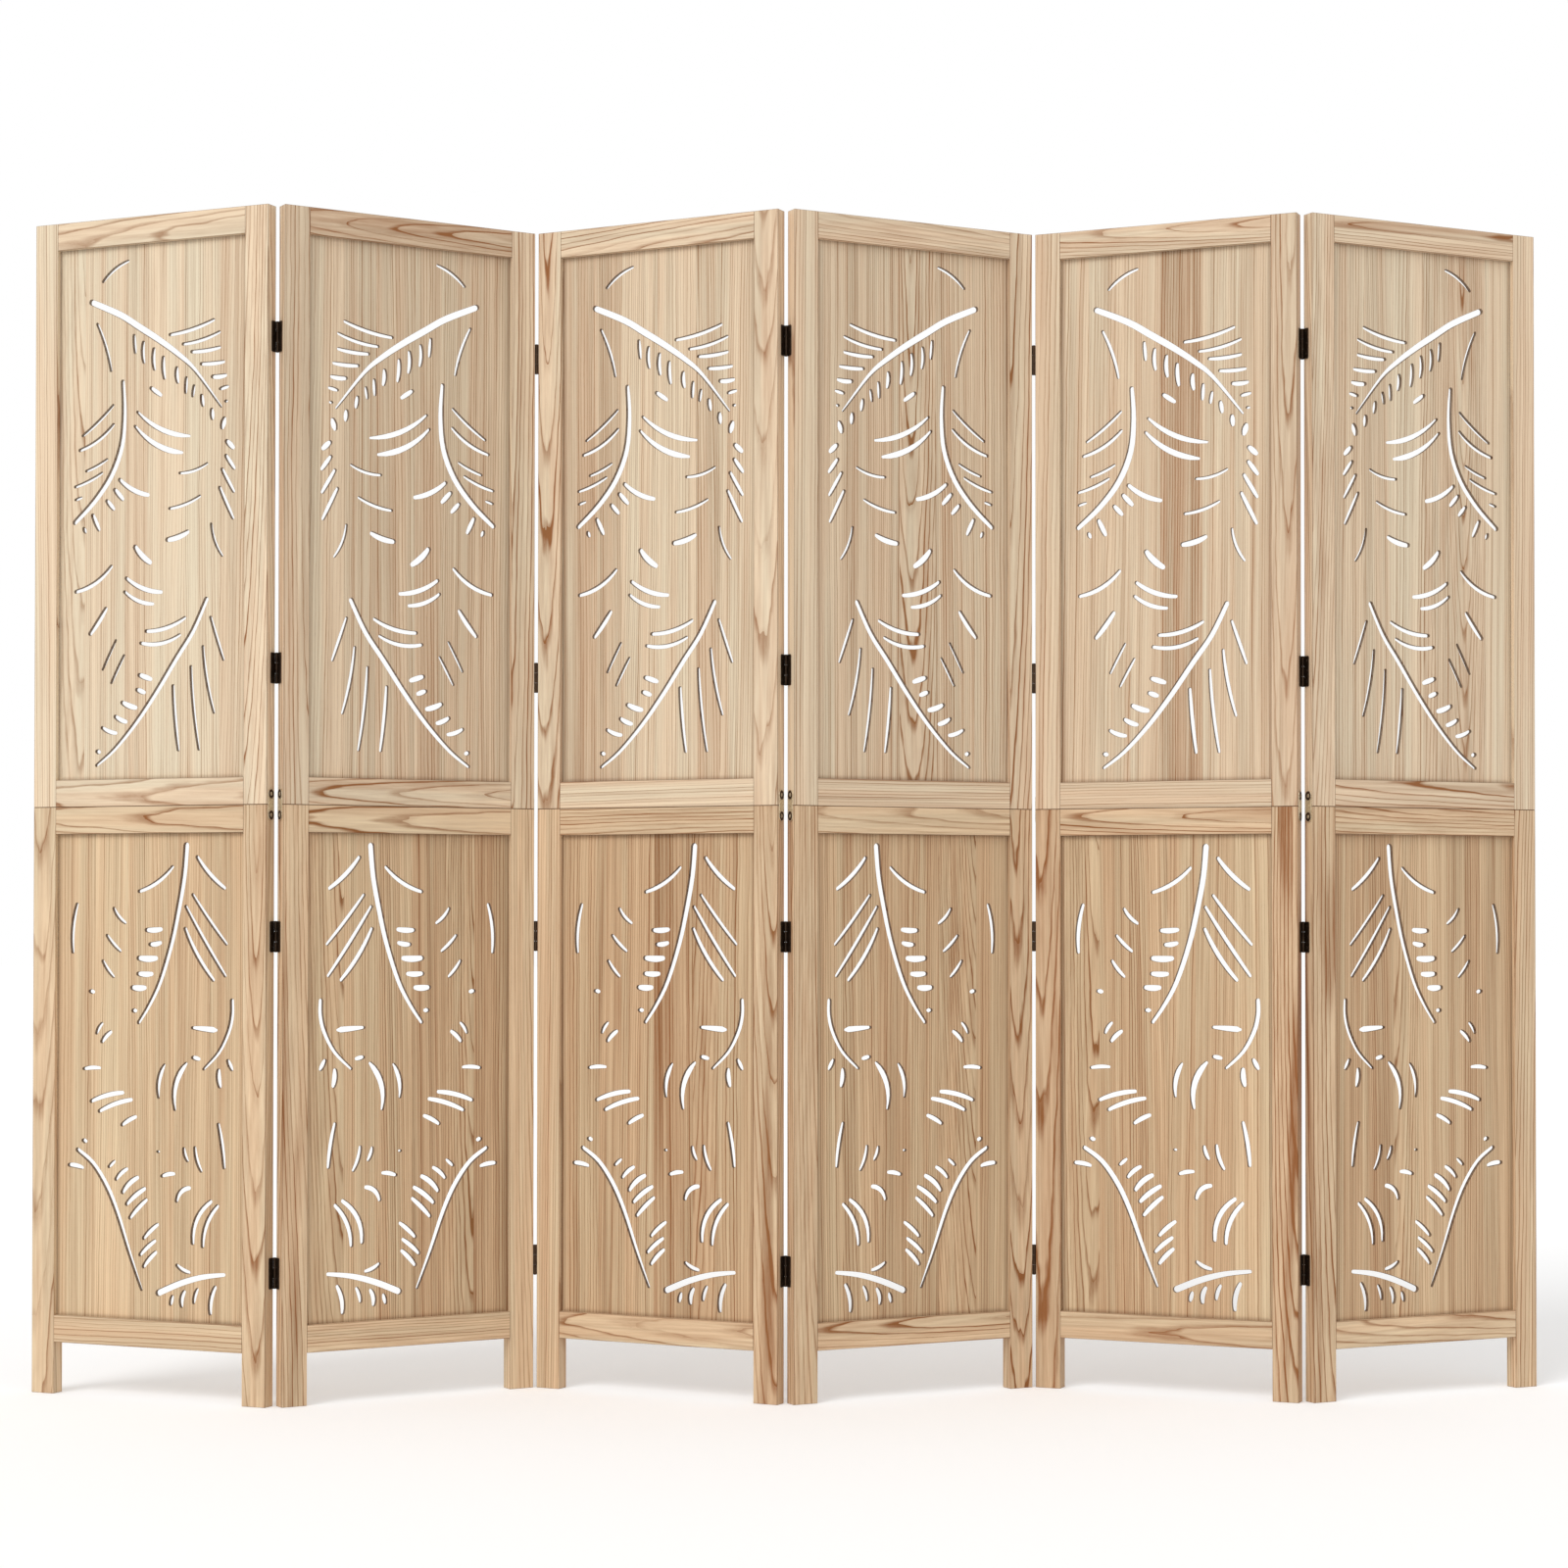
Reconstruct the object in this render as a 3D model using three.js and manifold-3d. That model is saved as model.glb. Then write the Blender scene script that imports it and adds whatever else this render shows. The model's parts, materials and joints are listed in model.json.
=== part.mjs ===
// A free-standing folding screen of six pierced wooden panels. Each panel is two framed sections,
// one on the other, held together by small plates on the stiles' outer edges. Neighbouring panels
// are joined by four butt hinges, whose knuckles lie by turns behind and in front of the wood, so
// that the screen stands in a zigzag and folds into a flat stack.
// Millimetres, +Z up, +Y to the back, the origin in the middle of the floor area that it covers.

import * as THREE from 'three';
import { mergeVertices } from 'three/addons/utils/BufferGeometryUtils.js';
import Module from 'manifold-3d';

const wasm = await Module();
wasm.setup();

// ---------------------------------------------------------------- driving dimensions

// How far each panel is turned out of the screen's long direction, in degrees, from left to right.
// Odd panels come forward to the right, and even ones go back.
const HEADINGS = [23.1, 31.0, 26.3, 27.1, 23.6, 25.7];

const PANEL_WIDTH = 395;
const PANEL_HEIGHT = 1700;
const THICKNESS = 21;
const STILE = 38; // width of each upright
const RAIL = 39; // height of each cross member
const LEG = 74.5; // clear height under the bottom rail
const SEAM_HEIGHT = 850; // where the upper section stands on the lower one

const BOARD_THICKNESS = 6;
const GROOVE_DEPTH = 8; // how far the groove for the board runs into the frame
const SEAT_GAP = 0.3; // left between pieces that touch

const FOLD_GAP = 4.3; // between the edges of two panels when they lie in line
const AXIS_OUT = 0.9; // hinge axis in front of, or behind, the face on its side
const HINGE_HEIGHT = 44;
const LEAF_THICKNESS = 1.2;
const LEAF_WIDTH = 10.5;
const KNUCKLES = 3;
const KNUCKLE_RADIUS = 2;
const KNUCKLE_GAP = 0.4;
const PIN_RADIUS = 1;
const PIN_CLEARANCE = 0.3;
const SWING_CLEARANCE = 0.35; // between a leaf and the knuckles of the other leaf
const HINGE_BELOW_TOP = 186; // these four run to the middle of a hinge
const HINGE_ABOVE_SEAM = 193.5;
const HINGE_BELOW_SEAM = 187;
const HINGE_ABOVE_FLOOR = 187.5;

const SEAM_PLATE_LENGTH = 45;
const SEAM_PLATE_WIDTH = 15; // its ends are round, as wide as the plate
const SEAM_PLATE_THICKNESS = 1.2;
const PLATE_END_SEGMENTS = 3; // half the facets of a round end

// Plain wood between the opening's edges and the outermost points of the pattern.
const UPPER_LEFT_MARGIN = 26;
const UPPER_TOP_MARGIN = 23;
const UPPER_BOTTOM_MARGIN = 21;
const LOWER_LEFT_MARGIN = 21.5;
const LOWER_TOP_MARGIN = 18;
const LOWER_BOTTOM_MARGIN = 15;
const RIGHT_MARGIN = 23;

const DARK_RIM = 0.7; // the drawing's widths take in the cuts' dark edges, this much on each side
const SHORTEST_CUT = 38; // shorter strokes of the pattern are left to the surface finish
const SHARP_BOW = 4; // a stroke that bows more than this gets a bend in the middle
const END_REACH = 0.4; // flat ends stand for round ones, this share of the width beyond them
const RIB_STEPS = 6;

// ---------------------------------------------------------------- the pierced pattern
// Drawn on the leftmost panel, in mm from its left edge and from the floor, and then fitted to the
// opening up to the margins. A rib is a curved midrib: points down its middle, and its width at the
// start, in the middle and at the end. A stroke is [from u, from z, to u, to z, bow to the left,
// width].

const UPPER_DRAWING = {
  margins: {
    left: UPPER_LEFT_MARGIN,
    right: RIGHT_MARGIN,
    bottom: UPPER_BOTTOM_MARGIN,
    top: UPPER_TOP_MARGIN,
  },
  ribs: [
    {
      path: [[92, 1583], [140, 1562], [173, 1542], [207, 1521], [240, 1498], [269, 1473], [313, 1418]],
      width: [9, 10, 3.5],
    },
    {
      path: [[146, 1464], [148.5, 1420], [144, 1372], [126, 1329], [97, 1293], [64, 1264]],
      width: [7, 10.5, 8],
    },
    {
      path: [[289, 1144], [266, 1099], [239, 1062], [205, 1014], [170, 970], [133, 932], [103, 910]],
      width: [8, 9, 5],
    },
  ],
  strokes: [
    // beside the top frond
    [112, 1612, 154, 1638, 3.5, 6], [102, 1550, 125.5, 1482, 3, 6],
    // above its midrib
    [227, 1527, 299, 1543, -3, 7], [249, 1512, 309, 1525, -3, 6.5], [264, 1500, 309, 1503, -1.5, 7],
    [280, 1481.5, 316, 1482, -1, 7], [299, 1462, 319, 1462.5, -1, 8], [312, 1444, 323, 1446, 0, 6.5],
    [320, 1425.5, 322, 1425.5, 0, 5],
    // below its midrib
    [165, 1529, 167, 1506, 0, 7], [181, 1518, 182, 1491, -1.5, 7.5], [199, 1507, 200, 1480, -1.5, 8],
    [215, 1494, 217, 1466, -1, 8], [238, 1477, 239.5, 1459, -1, 8.5], [254, 1462, 253, 1443, 0, 7],
    [267, 1450, 265, 1437, 0, 6.5], [280, 1435, 282, 1423, 0, 8],
    // its tail
    [297, 1413.5, 298, 1403.5, 0, 9], [317.5, 1399, 315, 1390, 0, 11], [323, 1367.5, 332, 1359.5, 0, 9.5],
    [321.5, 1347, 334, 1330, 0, 8], [315, 1328, 333.5, 1297, 0, 7.5], [311, 1302, 332.5, 1259, 0, 7.5],
    [297, 1251, 315, 1206, -3.5, 5.5],
    // beside the middle frond
    [195, 1451.5, 210, 1441.5, 0, 8], [244, 1327, 289, 1338, -3.5, 5.5], [227, 1277, 277, 1292, -3, 6],
    [224, 1232.5, 256, 1241.5, -2, 10], [78, 1390, 129, 1430.5, -2, 6], [73, 1369, 129.5, 1402.5, -5, 7],
    [84, 1338, 119, 1353, -1.5, 5.5], [65, 1316, 110, 1333.5, -2, 6], [65.5, 1297, 75, 1299.5, 0, 5],
    [142, 1322, 189, 1298.5, -4, 8.5], [133.5, 1307.5, 145.5, 1295, 0, 9], [120, 1292, 130, 1281.5, 0, 8.5],
    [95.5, 1272, 105, 1253, 0, 9], [80, 1254, 82, 1250, 0, 7],
    // the long leaves on its right
    [173, 1418, 258, 1380, -8.5, 8.5], [169, 1397.5, 245.5, 1357, -8.5, 9.5],
    // loose leaves
    [169, 1223, 192.5, 1201.5, -2, 11], [67, 1163.5, 126.5, 1197, -6.5, 8], [154, 1179, 212, 1157.5, -5, 8],
    [151, 1159.5, 198, 1141, -4.5, 7], [92, 1102, 117.5, 1135.5, -1, 9.5], [113.5, 1049, 135.5, 1090, 0, 5],
    [128.5, 1029.5, 149.5, 1067.5, 0, 5.5], [188, 1102, 252, 1118.5, -5, 7.5],
    [179, 1085, 243.5, 1094.5, -6.5, 7],
    // left of the bottom midrib
    [177, 1038.5, 194.5, 1033, 0, 9], [173, 1017.5, 183.5, 1014, 0, 8.5], [148, 999.5, 169, 992.5, -1, 9.5],
    [136, 979.5, 152.5, 972.5, -1, 8.5], [113.5, 964, 135.5, 956.5, -1.5, 7.5],
    [104.5, 930, 107, 929.5, 0, 8],
    // right of it
    [296.5, 1117.5, 317.5, 1058, 0, 6.5], [283.5, 1076, 302, 983, -2.5, 6.5],
    [263.5, 1048, 277, 931, -2, 6.5], [233.5, 1021, 242.5, 931, -1, 7.5],
  ],
};

const LOWER_DRAWING = {
  margins: {
    left: LOWER_LEFT_MARGIN,
    right: RIGHT_MARGIN,
    bottom: LOWER_BOTTOM_MARGIN,
    top: LOWER_TOP_MARGIN,
  },
  ribs: [
    {
      path: [[257, 793], [253, 750], [244, 703], [232, 653], [213, 598], [194, 563], [177, 539]],
      width: [10, 9, 6],
    },
    {
      path: [[334, 572], [334, 551], [328, 527], [312, 498], [287, 474]],
      width: [7, 7.5, 4.5],
    },
    {
      path: [[73, 353.5], [99, 335], [123, 303], [142, 264], [163, 207], [183.5, 156]],
      width: [7, 9, 4.5],
    },
    {
      path: [[212, 152.5], [248, 167.5], [285, 178], [322, 183]],
      width: [10, 9, 6],
    },
  ],
  strokes: [
    // beside the top frond
    [178, 728, 233, 762, -5, 7.5], [276, 775.5, 320, 732.5, -3, 8.5], [268.5, 722, 324, 653, -1, 7],
    [257, 705, 322, 608, -1, 7.5], [256, 673, 302, 602, -3.5, 8.5],
    // left of its midrib
    [191, 671.5, 213.5, 672.5, 0, 9], [197, 651, 212.5, 653, 0, 8.5], [178, 631, 205, 631, -1.5, 10.5],
    [177, 608.5, 198, 608.5, 0, 9], [167, 588.5, 186, 588.5, 0, 10], [168, 556, 171.5, 556, 0, 8.5],
    // the frond on the left
    [70.5, 708, 63.5, 641, -3.5, 8], [134.5, 702.5, 153, 683, -2, 7], [123, 663.5, 144.5, 642.5, -1, 7],
    [116, 626.5, 133, 605.5, -1, 7], [94.5, 583, 99, 582.5, 0, 7.5], [105.5, 523.5, 114, 536, 1, 7],
    [115, 511.5, 128.5, 524, 1, 8.5], [84, 471, 110, 472.5, 1, 6.5],
    // in the middle
    [97, 424.5, 149.5, 437.5, 2.5, 8], [111, 410.5, 164, 427.5, 2.5, 8], [150, 392, 171.5, 403, 1, 8],
    [220.5, 477, 211.5, 434, -4.5, 9], [257, 479, 239.5, 418, -9, 11],
    // on the right
    [270, 532.5, 306, 530, 0, 9], [269.5, 490, 278.5, 488.5, 0, 8], [328, 485.5, 333.5, 475.5, 0, 8.5],
    [312, 471, 314, 451.5, -1, 10], [312, 395, 321.5, 336, 1.5, 8],
    // right of the left midrib
    [83.5, 367, 86.5, 366.5, 0, 8], [59.5, 331, 80.5, 328, 1, 8], [127.5, 331, 136, 338, 0, 6.5],
    [140, 313.5, 157, 327.5, 1.5, 8], [151.5, 295.5, 175, 315.5, 2.5, 9.5], [158.5, 278.5, 187, 300, 1.5, 9],
    [164, 259, 190, 284, 1, 8.5], [187.5, 230.5, 209.5, 249.5, 1, 8], [181.5, 206.5, 205, 226, 1, 8],
    [187.5, 190, 206.5, 209.5, 1, 8.5],
    // loose leaves
    [210, 354.5, 212, 354.5, 0, 4.5], [218, 320, 237, 323.5, 1, 7], [243, 286, 263, 303.5, 5, 8.5],
    [254.5, 359, 260, 344, -1, 7.5], [273, 361, 283, 330, -2, 7.5], [299, 285, 270, 227, -9.5, 9],
    [310.5, 279, 286.5, 223, -6.5, 8.5],
    // about the bottom midrib
    [244, 193, 263, 184.5, -1.5, 7.5], [235.5, 147.5, 233, 138.5, 0, 8], [255.5, 155, 251.5, 137, -2, 9],
    [277.5, 159.5, 272, 142.5, -1, 7.5], [307, 163.5, 299.5, 128.5, -3, 9],
  ],
};

// ---------------------------------------------------------------- materials

const upperFrameWood = new THREE.MeshStandardMaterial({ color: 0xd9b88c, roughness: 0.62, metalness: 0 });
const lowerFrameWood = new THREE.MeshStandardMaterial({ color: 0xcda577, roughness: 0.62, metalness: 0 });
const upperBoardWood = new THREE.MeshStandardMaterial({ color: 0xd2b288, roughness: 0.7, metalness: 0 });
const lowerBoardWood = new THREE.MeshStandardMaterial({ color: 0xc2986c, roughness: 0.7, metalness: 0 });
const hingeSteel = new THREE.MeshStandardMaterial({ color: 0x2a2522, roughness: 0.45, metalness: 0.8 });
const zincPlate = new THREE.MeshStandardMaterial({ color: 0xb9b6ae, roughness: 0.4, metalness: 0.9 });

// ---------------------------------------------------------------- solids

function toSolid(geometry) {
  geometry.deleteAttribute('normal');
  geometry.deleteAttribute('uv');
  const merged = mergeVertices(geometry, 1e-4);
  return new wasm.Manifold(new wasm.Mesh({
    numProp: 3,
    vertProperties: new Float32Array(merged.attributes.position.array),
    triVerts: new Uint32Array(merged.index.array),
  }));
}

function toGeometry(solid) {
  const { vertProperties, triVerts } = solid.getMesh();
  const geometry = new THREE.BufferGeometry();
  geometry.setAttribute('position', new THREE.BufferAttribute(new Float32Array(vertProperties), 3));
  geometry.setIndex(new THREE.BufferAttribute(new Uint32Array(triVerts), 1));
  geometry.computeVertexNormals();
  return geometry;
}

// A box between two opposite corners, given in any order: [u, v, z] of a panel.
function block([u0, v0, z0], [u1, v1, z1]) {
  const box = new THREE.BoxGeometry(Math.abs(u1 - u0), Math.abs(v1 - v0), Math.abs(z1 - z0));
  box.translate((u0 + u1) / 2, (v0 + v1) / 2, (z0 + z1) / 2);
  return toSolid(box);
}

// An upright round bar at (u, v).
function bar(u, v, z0, z1, radius, sides) {
  const cylinder = new THREE.CylinderGeometry(radius, radius, z1 - z0, sides);
  cylinder.rotateX(Math.PI / 2);
  cylinder.translate(u, v, (z0 + z1) / 2);
  return toSolid(cylinder);
}

// An upright sheet: an outline in u and z, from v0 towards the back. An arc of the outline gets
// twice as many facets as there are curve segments.
function sheet(outline, v0, thickness, curveSegments = 1) {
  const geometry = new THREE.ExtrudeGeometry(outline, {
    depth: thickness,
    bevelEnabled: false,
    curveSegments,
  });
  geometry.rotateX(Math.PI / 2);
  geometry.translate(0, v0 + thickness, 0);
  return geometry;
}

// ---------------------------------------------------------------- frames

// A section's frame fills the panel's width between two heights. Its opening is the free area
// between the stiles and the rails, and a section with legs has a gap between them below it.
function sectionSizes(bottom, top, legs) {
  return {
    bottom,
    top,
    legs,
    opening: { left: STILE, right: PANEL_WIDTH - STILE, bottom: bottom + legs + RAIL, top: top - RAIL },
  };
}

const LOWER_SECTION = sectionSizes(0, SEAM_HEIGHT - SEAT_GAP / 2, LEG);
const UPPER_SECTION = sectionSizes(SEAM_HEIGHT + SEAT_GAP / 2, PANEL_HEIGHT, 0);

function frameSolid({ bottom, top, legs, opening }) {
  const outline = new THREE.Shape();
  outline.moveTo(0, bottom);
  if (legs > 0) {
    outline.lineTo(STILE, bottom);
    outline.lineTo(STILE, bottom + legs);
    outline.lineTo(PANEL_WIDTH - STILE, bottom + legs);
    outline.lineTo(PANEL_WIDTH - STILE, bottom);
  }
  outline.lineTo(PANEL_WIDTH, bottom);
  outline.lineTo(PANEL_WIDTH, top);
  outline.lineTo(0, top);
  outline.closePath();
  outline.holes.push(new THREE.Path([
    new THREE.Vector2(opening.left, opening.bottom),
    new THREE.Vector2(opening.left, opening.top),
    new THREE.Vector2(opening.right, opening.top),
    new THREE.Vector2(opening.right, opening.bottom),
  ]));
  const halfGroove = BOARD_THICKNESS / 2 + SEAT_GAP;
  const groove = block(
    [opening.left - GROOVE_DEPTH, THICKNESS / 2 - halfGroove, opening.bottom - GROOVE_DEPTH],
    [opening.right + GROOVE_DEPTH, THICKNESS / 2 + halfGroove, opening.top + GROOVE_DEPTH],
  );
  return toSolid(sheet(outline, 0, THICKNESS)).subtract(groove);
}

// ---------------------------------------------------------------- pierced boards

// The outline of a cut that follows a curve, at a width that changes along it.
function cutOutline(curve, steps, widthAt) {
  const near = [];
  const far = [];
  for (let step = 0; step <= steps; step += 1) {
    const t = step / steps;
    const point = curve.getPoint(t);
    const tangent = curve.getTangent(t);
    const side = new THREE.Vector2(-tangent.y, tangent.x).multiplyScalar(widthAt(t) / 2);
    near.push(point.clone().add(side));
    far.unshift(point.clone().sub(side));
  }
  return new THREE.Path([...near, ...far]);
}

function ribCut({ path, width: [start, middle, end] }, { place, scale }) {
  const curve = new THREE.SplineCurve(path.map(place));
  const drawnWidthAt = (t) => (
    start * (1 - t) * (1 - 2 * t) + middle * 4 * t * (1 - t) + end * t * (2 * t - 1)
  );
  return cutOutline(curve, RIB_STEPS, (t) => drawnWidthAt(t) * scale - 2 * DARK_RIM);
}

function strokeCut([u0, z0, u1, z1, drawnBow, drawnWidth], { place, scale }) {
  const bow = drawnBow * scale;
  const width = drawnWidth * scale - 2 * DARK_RIM;
  const from = place([u0, z0]);
  const to = place([u1, z1]);
  const along = to.clone().sub(from).normalize();
  from.addScaledVector(along, -width * END_REACH);
  to.addScaledVector(along, width * END_REACH);
  const left = new THREE.Vector2(-along.y, along.x).multiplyScalar(2 * bow);
  const curve = new THREE.QuadraticBezierCurve(from, from.clone().lerp(to, 0.5).add(left), to);
  return cutOutline(curve, Math.abs(bow) > SHARP_BOW ? 2 : 1, () => width);
}

// How a drawing lies in its opening: where each drawn point comes to lie, and the mean scale.
function fitDrawing({ margins, ribs, strokes }, opening) {
  const drawn = new THREE.Box2().setFromPoints([
    ...ribs.flatMap(({ path }) => path.map(([u, z]) => new THREE.Vector2(u, z))),
    ...strokes.map(([u, z]) => new THREE.Vector2(u, z)),
    ...strokes.map(([, , u, z]) => new THREE.Vector2(u, z)),
  ]);
  const room = new THREE.Box2(
    new THREE.Vector2(opening.left + margins.left, opening.bottom + margins.bottom),
    new THREE.Vector2(opening.right - margins.right, opening.top - margins.top),
  );
  const stretch = room.getSize(new THREE.Vector2()).divide(drawn.getSize(new THREE.Vector2()));
  return {
    place: ([u, z]) => new THREE.Vector2(u, z).sub(drawn.min).multiply(stretch).add(room.min),
    scale: Math.sqrt(stretch.x * stretch.y),
  };
}

// A board reaches into the groove on all four sides. A mirrored board has its drawing the other
// way round.
function boardGeometry({ opening }, drawing, mirrored) {
  const reach = GROOVE_DEPTH - SEAT_GAP;
  const fit = fitDrawing(drawing, opening);
  const outline = new THREE.Shape([
    new THREE.Vector2(opening.left - reach, opening.bottom - reach),
    new THREE.Vector2(opening.right + reach, opening.bottom - reach),
    new THREE.Vector2(opening.right + reach, opening.top + reach),
    new THREE.Vector2(opening.left - reach, opening.top + reach),
  ]);
  const longEnough = ([u0, z0, u1, z1]) => (
    fit.place([u0, z0]).distanceTo(fit.place([u1, z1])) >= SHORTEST_CUT
  );
  for (const rib of drawing.ribs) outline.holes.push(ribCut(rib, fit));
  for (const stroke of drawing.strokes.filter(longEnough)) outline.holes.push(strokeCut(stroke, fit));
  const geometry = sheet(outline, (THICKNESS - BOARD_THICKNESS) / 2, BOARD_THICKNESS);
  if (!mirrored) return geometry;
  // half a turn about the board's middle brings the drawing's other face to the front
  geometry.translate(-PANEL_WIDTH / 2, -THICKNESS / 2, 0);
  geometry.rotateZ(Math.PI);
  geometry.translate(PANEL_WIDTH / 2, THICKNESS / 2, 0);
  return geometry;
}

// ---------------------------------------------------------------- hinges

// Which way a hinge lies on a panel: out is away from the panel's edge, and inward is from the face
// on the knuckles' side into the wood. Folds that come forward have their knuckles at the back.
function hingeSide(rightEdge, knucklesAtBack) {
  const edge = rightEdge ? PANEL_WIDTH : 0;
  const out = rightEdge ? 1 : -1;
  const face = knucklesAtBack ? THICKNESS : 0;
  const inward = knucklesAtBack ? -1 : 1;
  return (e, d, z) => [edge + out * e, face + inward * d, z];
}

// One leaf: its plate on the edge of the stile, and a finger that carries each of its knuckles.
// The plate starts behind the other leaf's knuckles, far enough for them to swing past.
function hingeLeaf(side, middle, seat, sink, ownsKnuckle) {
  const bottom = middle - HINGE_HEIGHT / 2;
  const pitch = (HINGE_HEIGHT + KNUCKLE_GAP) / KNUCKLES;
  const outer = seat + LEAF_THICKNESS;
  const swing = KNUCKLE_RADIUS + SWING_CLEARANCE;
  const setback = Math.sqrt(swing ** 2 - (FOLD_GAP / 2 - outer) ** 2) - AXIS_OUT;
  const [axisU, axisV] = side(FOLD_GAP / 2, -AXIS_OUT, 0);
  let leaf = block(
    side(seat - sink, setback, bottom),
    side(outer, setback + LEAF_WIDTH, bottom + HINGE_HEIGHT),
  );
  for (let knuckle = 0; knuckle < KNUCKLES; knuckle += 1) {
    if (!ownsKnuckle(knuckle)) continue;
    const low = bottom + knuckle * pitch;
    const high = low + pitch - KNUCKLE_GAP;
    leaf = leaf
      .add(block(side(seat, -AXIS_OUT, low), side(outer, setback + LEAF_THICKNESS, high)))
      .add(bar(axisU, axisV, low, high, KNUCKLE_RADIUS, 8));
  }
  return leaf;
}

// The leaf on the right edge of a panel is screwed down tight and has the middle knuckle.
function boredLeaf(side, middle) {
  const leaf = hingeLeaf(side, middle, 0, LEAF_THICKNESS / 2, (knuckle) => knuckle % 2 === 1);
  const [axisU, axisV] = side(FOLD_GAP / 2, -AXIS_OUT, 0);
  const boreRadius = (PIN_RADIUS + PIN_CLEARANCE) / Math.cos(Math.PI / 8);
  return leaf.subtract(bar(axisU, axisV, middle - HINGE_HEIGHT, middle + HINGE_HEIGHT, boreRadius, 8));
}

// The leaf on the left edge of the next panel has the outer knuckles, and holds the pin.
function pinLeaf(side, middle) {
  const leaf = hingeLeaf(side, middle, SEAT_GAP, 0, (knuckle) => knuckle % 2 === 0);
  const [axisU, axisV] = side(FOLD_GAP / 2, -AXIS_OUT, 0);
  const reach = HINGE_HEIGHT / 2 - KNUCKLE_RADIUS;
  return leaf.add(bar(axisU, axisV, middle - reach, middle + reach, PIN_RADIUS, 6));
}

const UPPER_HINGES = [PANEL_HEIGHT - HINGE_BELOW_TOP, SEAM_HEIGHT + HINGE_ABOVE_SEAM];
const LOWER_HINGES = [SEAM_HEIGHT - HINGE_BELOW_SEAM, HINGE_ABOVE_FLOOR];

// ---------------------------------------------------------------- seam plates

function seamPlateGeometry(rightEdge) {
  const radius = SEAM_PLATE_WIDTH / 2;
  const straight = SEAM_PLATE_LENGTH / 2 - radius;
  const outline = new THREE.Shape();
  outline.moveTo(radius, -straight);
  outline.lineTo(radius, straight);
  outline.absarc(0, straight, radius, 0, Math.PI);
  outline.lineTo(-radius, -straight);
  outline.absarc(0, -straight, radius, Math.PI, 2 * Math.PI);
  const geometry = sheet(outline, 0, SEAM_PLATE_THICKNESS, PLATE_END_SEGMENTS);
  geometry.rotateZ(rightEdge ? Math.PI / 2 : -Math.PI / 2);
  const outerFace = SEAT_GAP + SEAM_PLATE_THICKNESS;
  geometry.translate(rightEdge ? PANEL_WIDTH + outerFace : -outerFace, THICKNESS / 2, SEAM_HEIGHT);
  return geometry;
}

// ---------------------------------------------------------------- assembly

const screen = new THREE.Group();

function addPiece(group, name, geometry, material) {
  const mesh = new THREE.Mesh(geometry, material);
  mesh.name = name;
  group.add(mesh);
}

function buildPanel(index) {
  const panel = new THREE.Group();
  const name = `panel_${index + 1}`;
  const odd = index % 2 === 0;
  let upperFrame = frameSolid(UPPER_SECTION);
  let lowerFrame = frameSolid(LOWER_SECTION);
  if (index < HEADINGS.length - 1) {
    const side = hingeSide(true, odd);
    for (const middle of UPPER_HINGES) upperFrame = upperFrame.add(boredLeaf(side, middle));
    for (const middle of LOWER_HINGES) lowerFrame = lowerFrame.add(boredLeaf(side, middle));
  }
  addPiece(panel, `${name}_upper_frame`, toGeometry(upperFrame), upperFrameWood);
  addPiece(panel, `${name}_lower_frame`, toGeometry(lowerFrame), lowerFrameWood);
  addPiece(panel, `${name}_upper_board`, boardGeometry(UPPER_SECTION, UPPER_DRAWING, !odd), upperBoardWood);
  addPiece(panel, `${name}_lower_board`, boardGeometry(LOWER_SECTION, LOWER_DRAWING, !odd), lowerBoardWood);
  if (index > 0) {
    const side = hingeSide(false, !odd);
    [...UPPER_HINGES, ...LOWER_HINGES].forEach((middle, number) => {
      addPiece(panel, `${name}_hinge_leaf_${number + 1}`, toGeometry(pinLeaf(side, middle)), hingeSteel);
    });
  }
  addPiece(panel, `${name}_seam_plate_left`, seamPlateGeometry(false), zincPlate);
  addPiece(panel, `${name}_seam_plate_right`, seamPlateGeometry(true), zincPlate);
  return panel;
}

// Each panel hangs on the last one by the hinge axis that they share.
let axis = new THREE.Vector2(0, 0);
HEADINGS.forEach((heading, index) => {
  const odd = index % 2 === 0;
  const angle = THREE.MathUtils.degToRad(odd ? -heading : heading);
  const inPlan = ([u, v]) => new THREE.Vector2(u, v).rotateAround(new THREE.Vector2(0, 0), angle);
  const leftAxis = hingeSide(false, !odd)(FOLD_GAP / 2, -AXIS_OUT, 0);
  const rightAxis = hingeSide(true, odd)(FOLD_GAP / 2, -AXIS_OUT, 0);
  const corner = axis.clone().sub(inPlan(leftAxis));
  const panel = buildPanel(index);
  panel.position.set(corner.x, corner.y, 0);
  panel.rotation.z = angle;
  screen.add(panel);
  axis = corner.clone().add(inPlan(rightAxis));
});

const middle = new THREE.Box3().setFromObject(screen, true).getCenter(new THREE.Vector3());
screen.position.set(-middle.x, -middle.y, 0);

export default screen;
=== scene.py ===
# %% [markdown]
# # A folding screen of six pierced wooden panels
# The screen stands in a zigzag. Each panel is a pair of frames, one on the other, and each frame
# holds a thin board of glued planks with a fern pattern cut right through it. Black butt hinges
# join the panels, and small zinc plates hold the two frames of a panel together.
# The solids from the CAD model fix all places and sizes here. This script dresses them: it builds
# each stick, board, hinge, plate and screw again with its fine detail, gives it its wood or metal,
# and sets up the camera, the floor and the light.

# %% Load the solids
import json
import math
import random

import bmesh
import bpy
import numpy as np
from mathutils import Matrix, Vector


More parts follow.
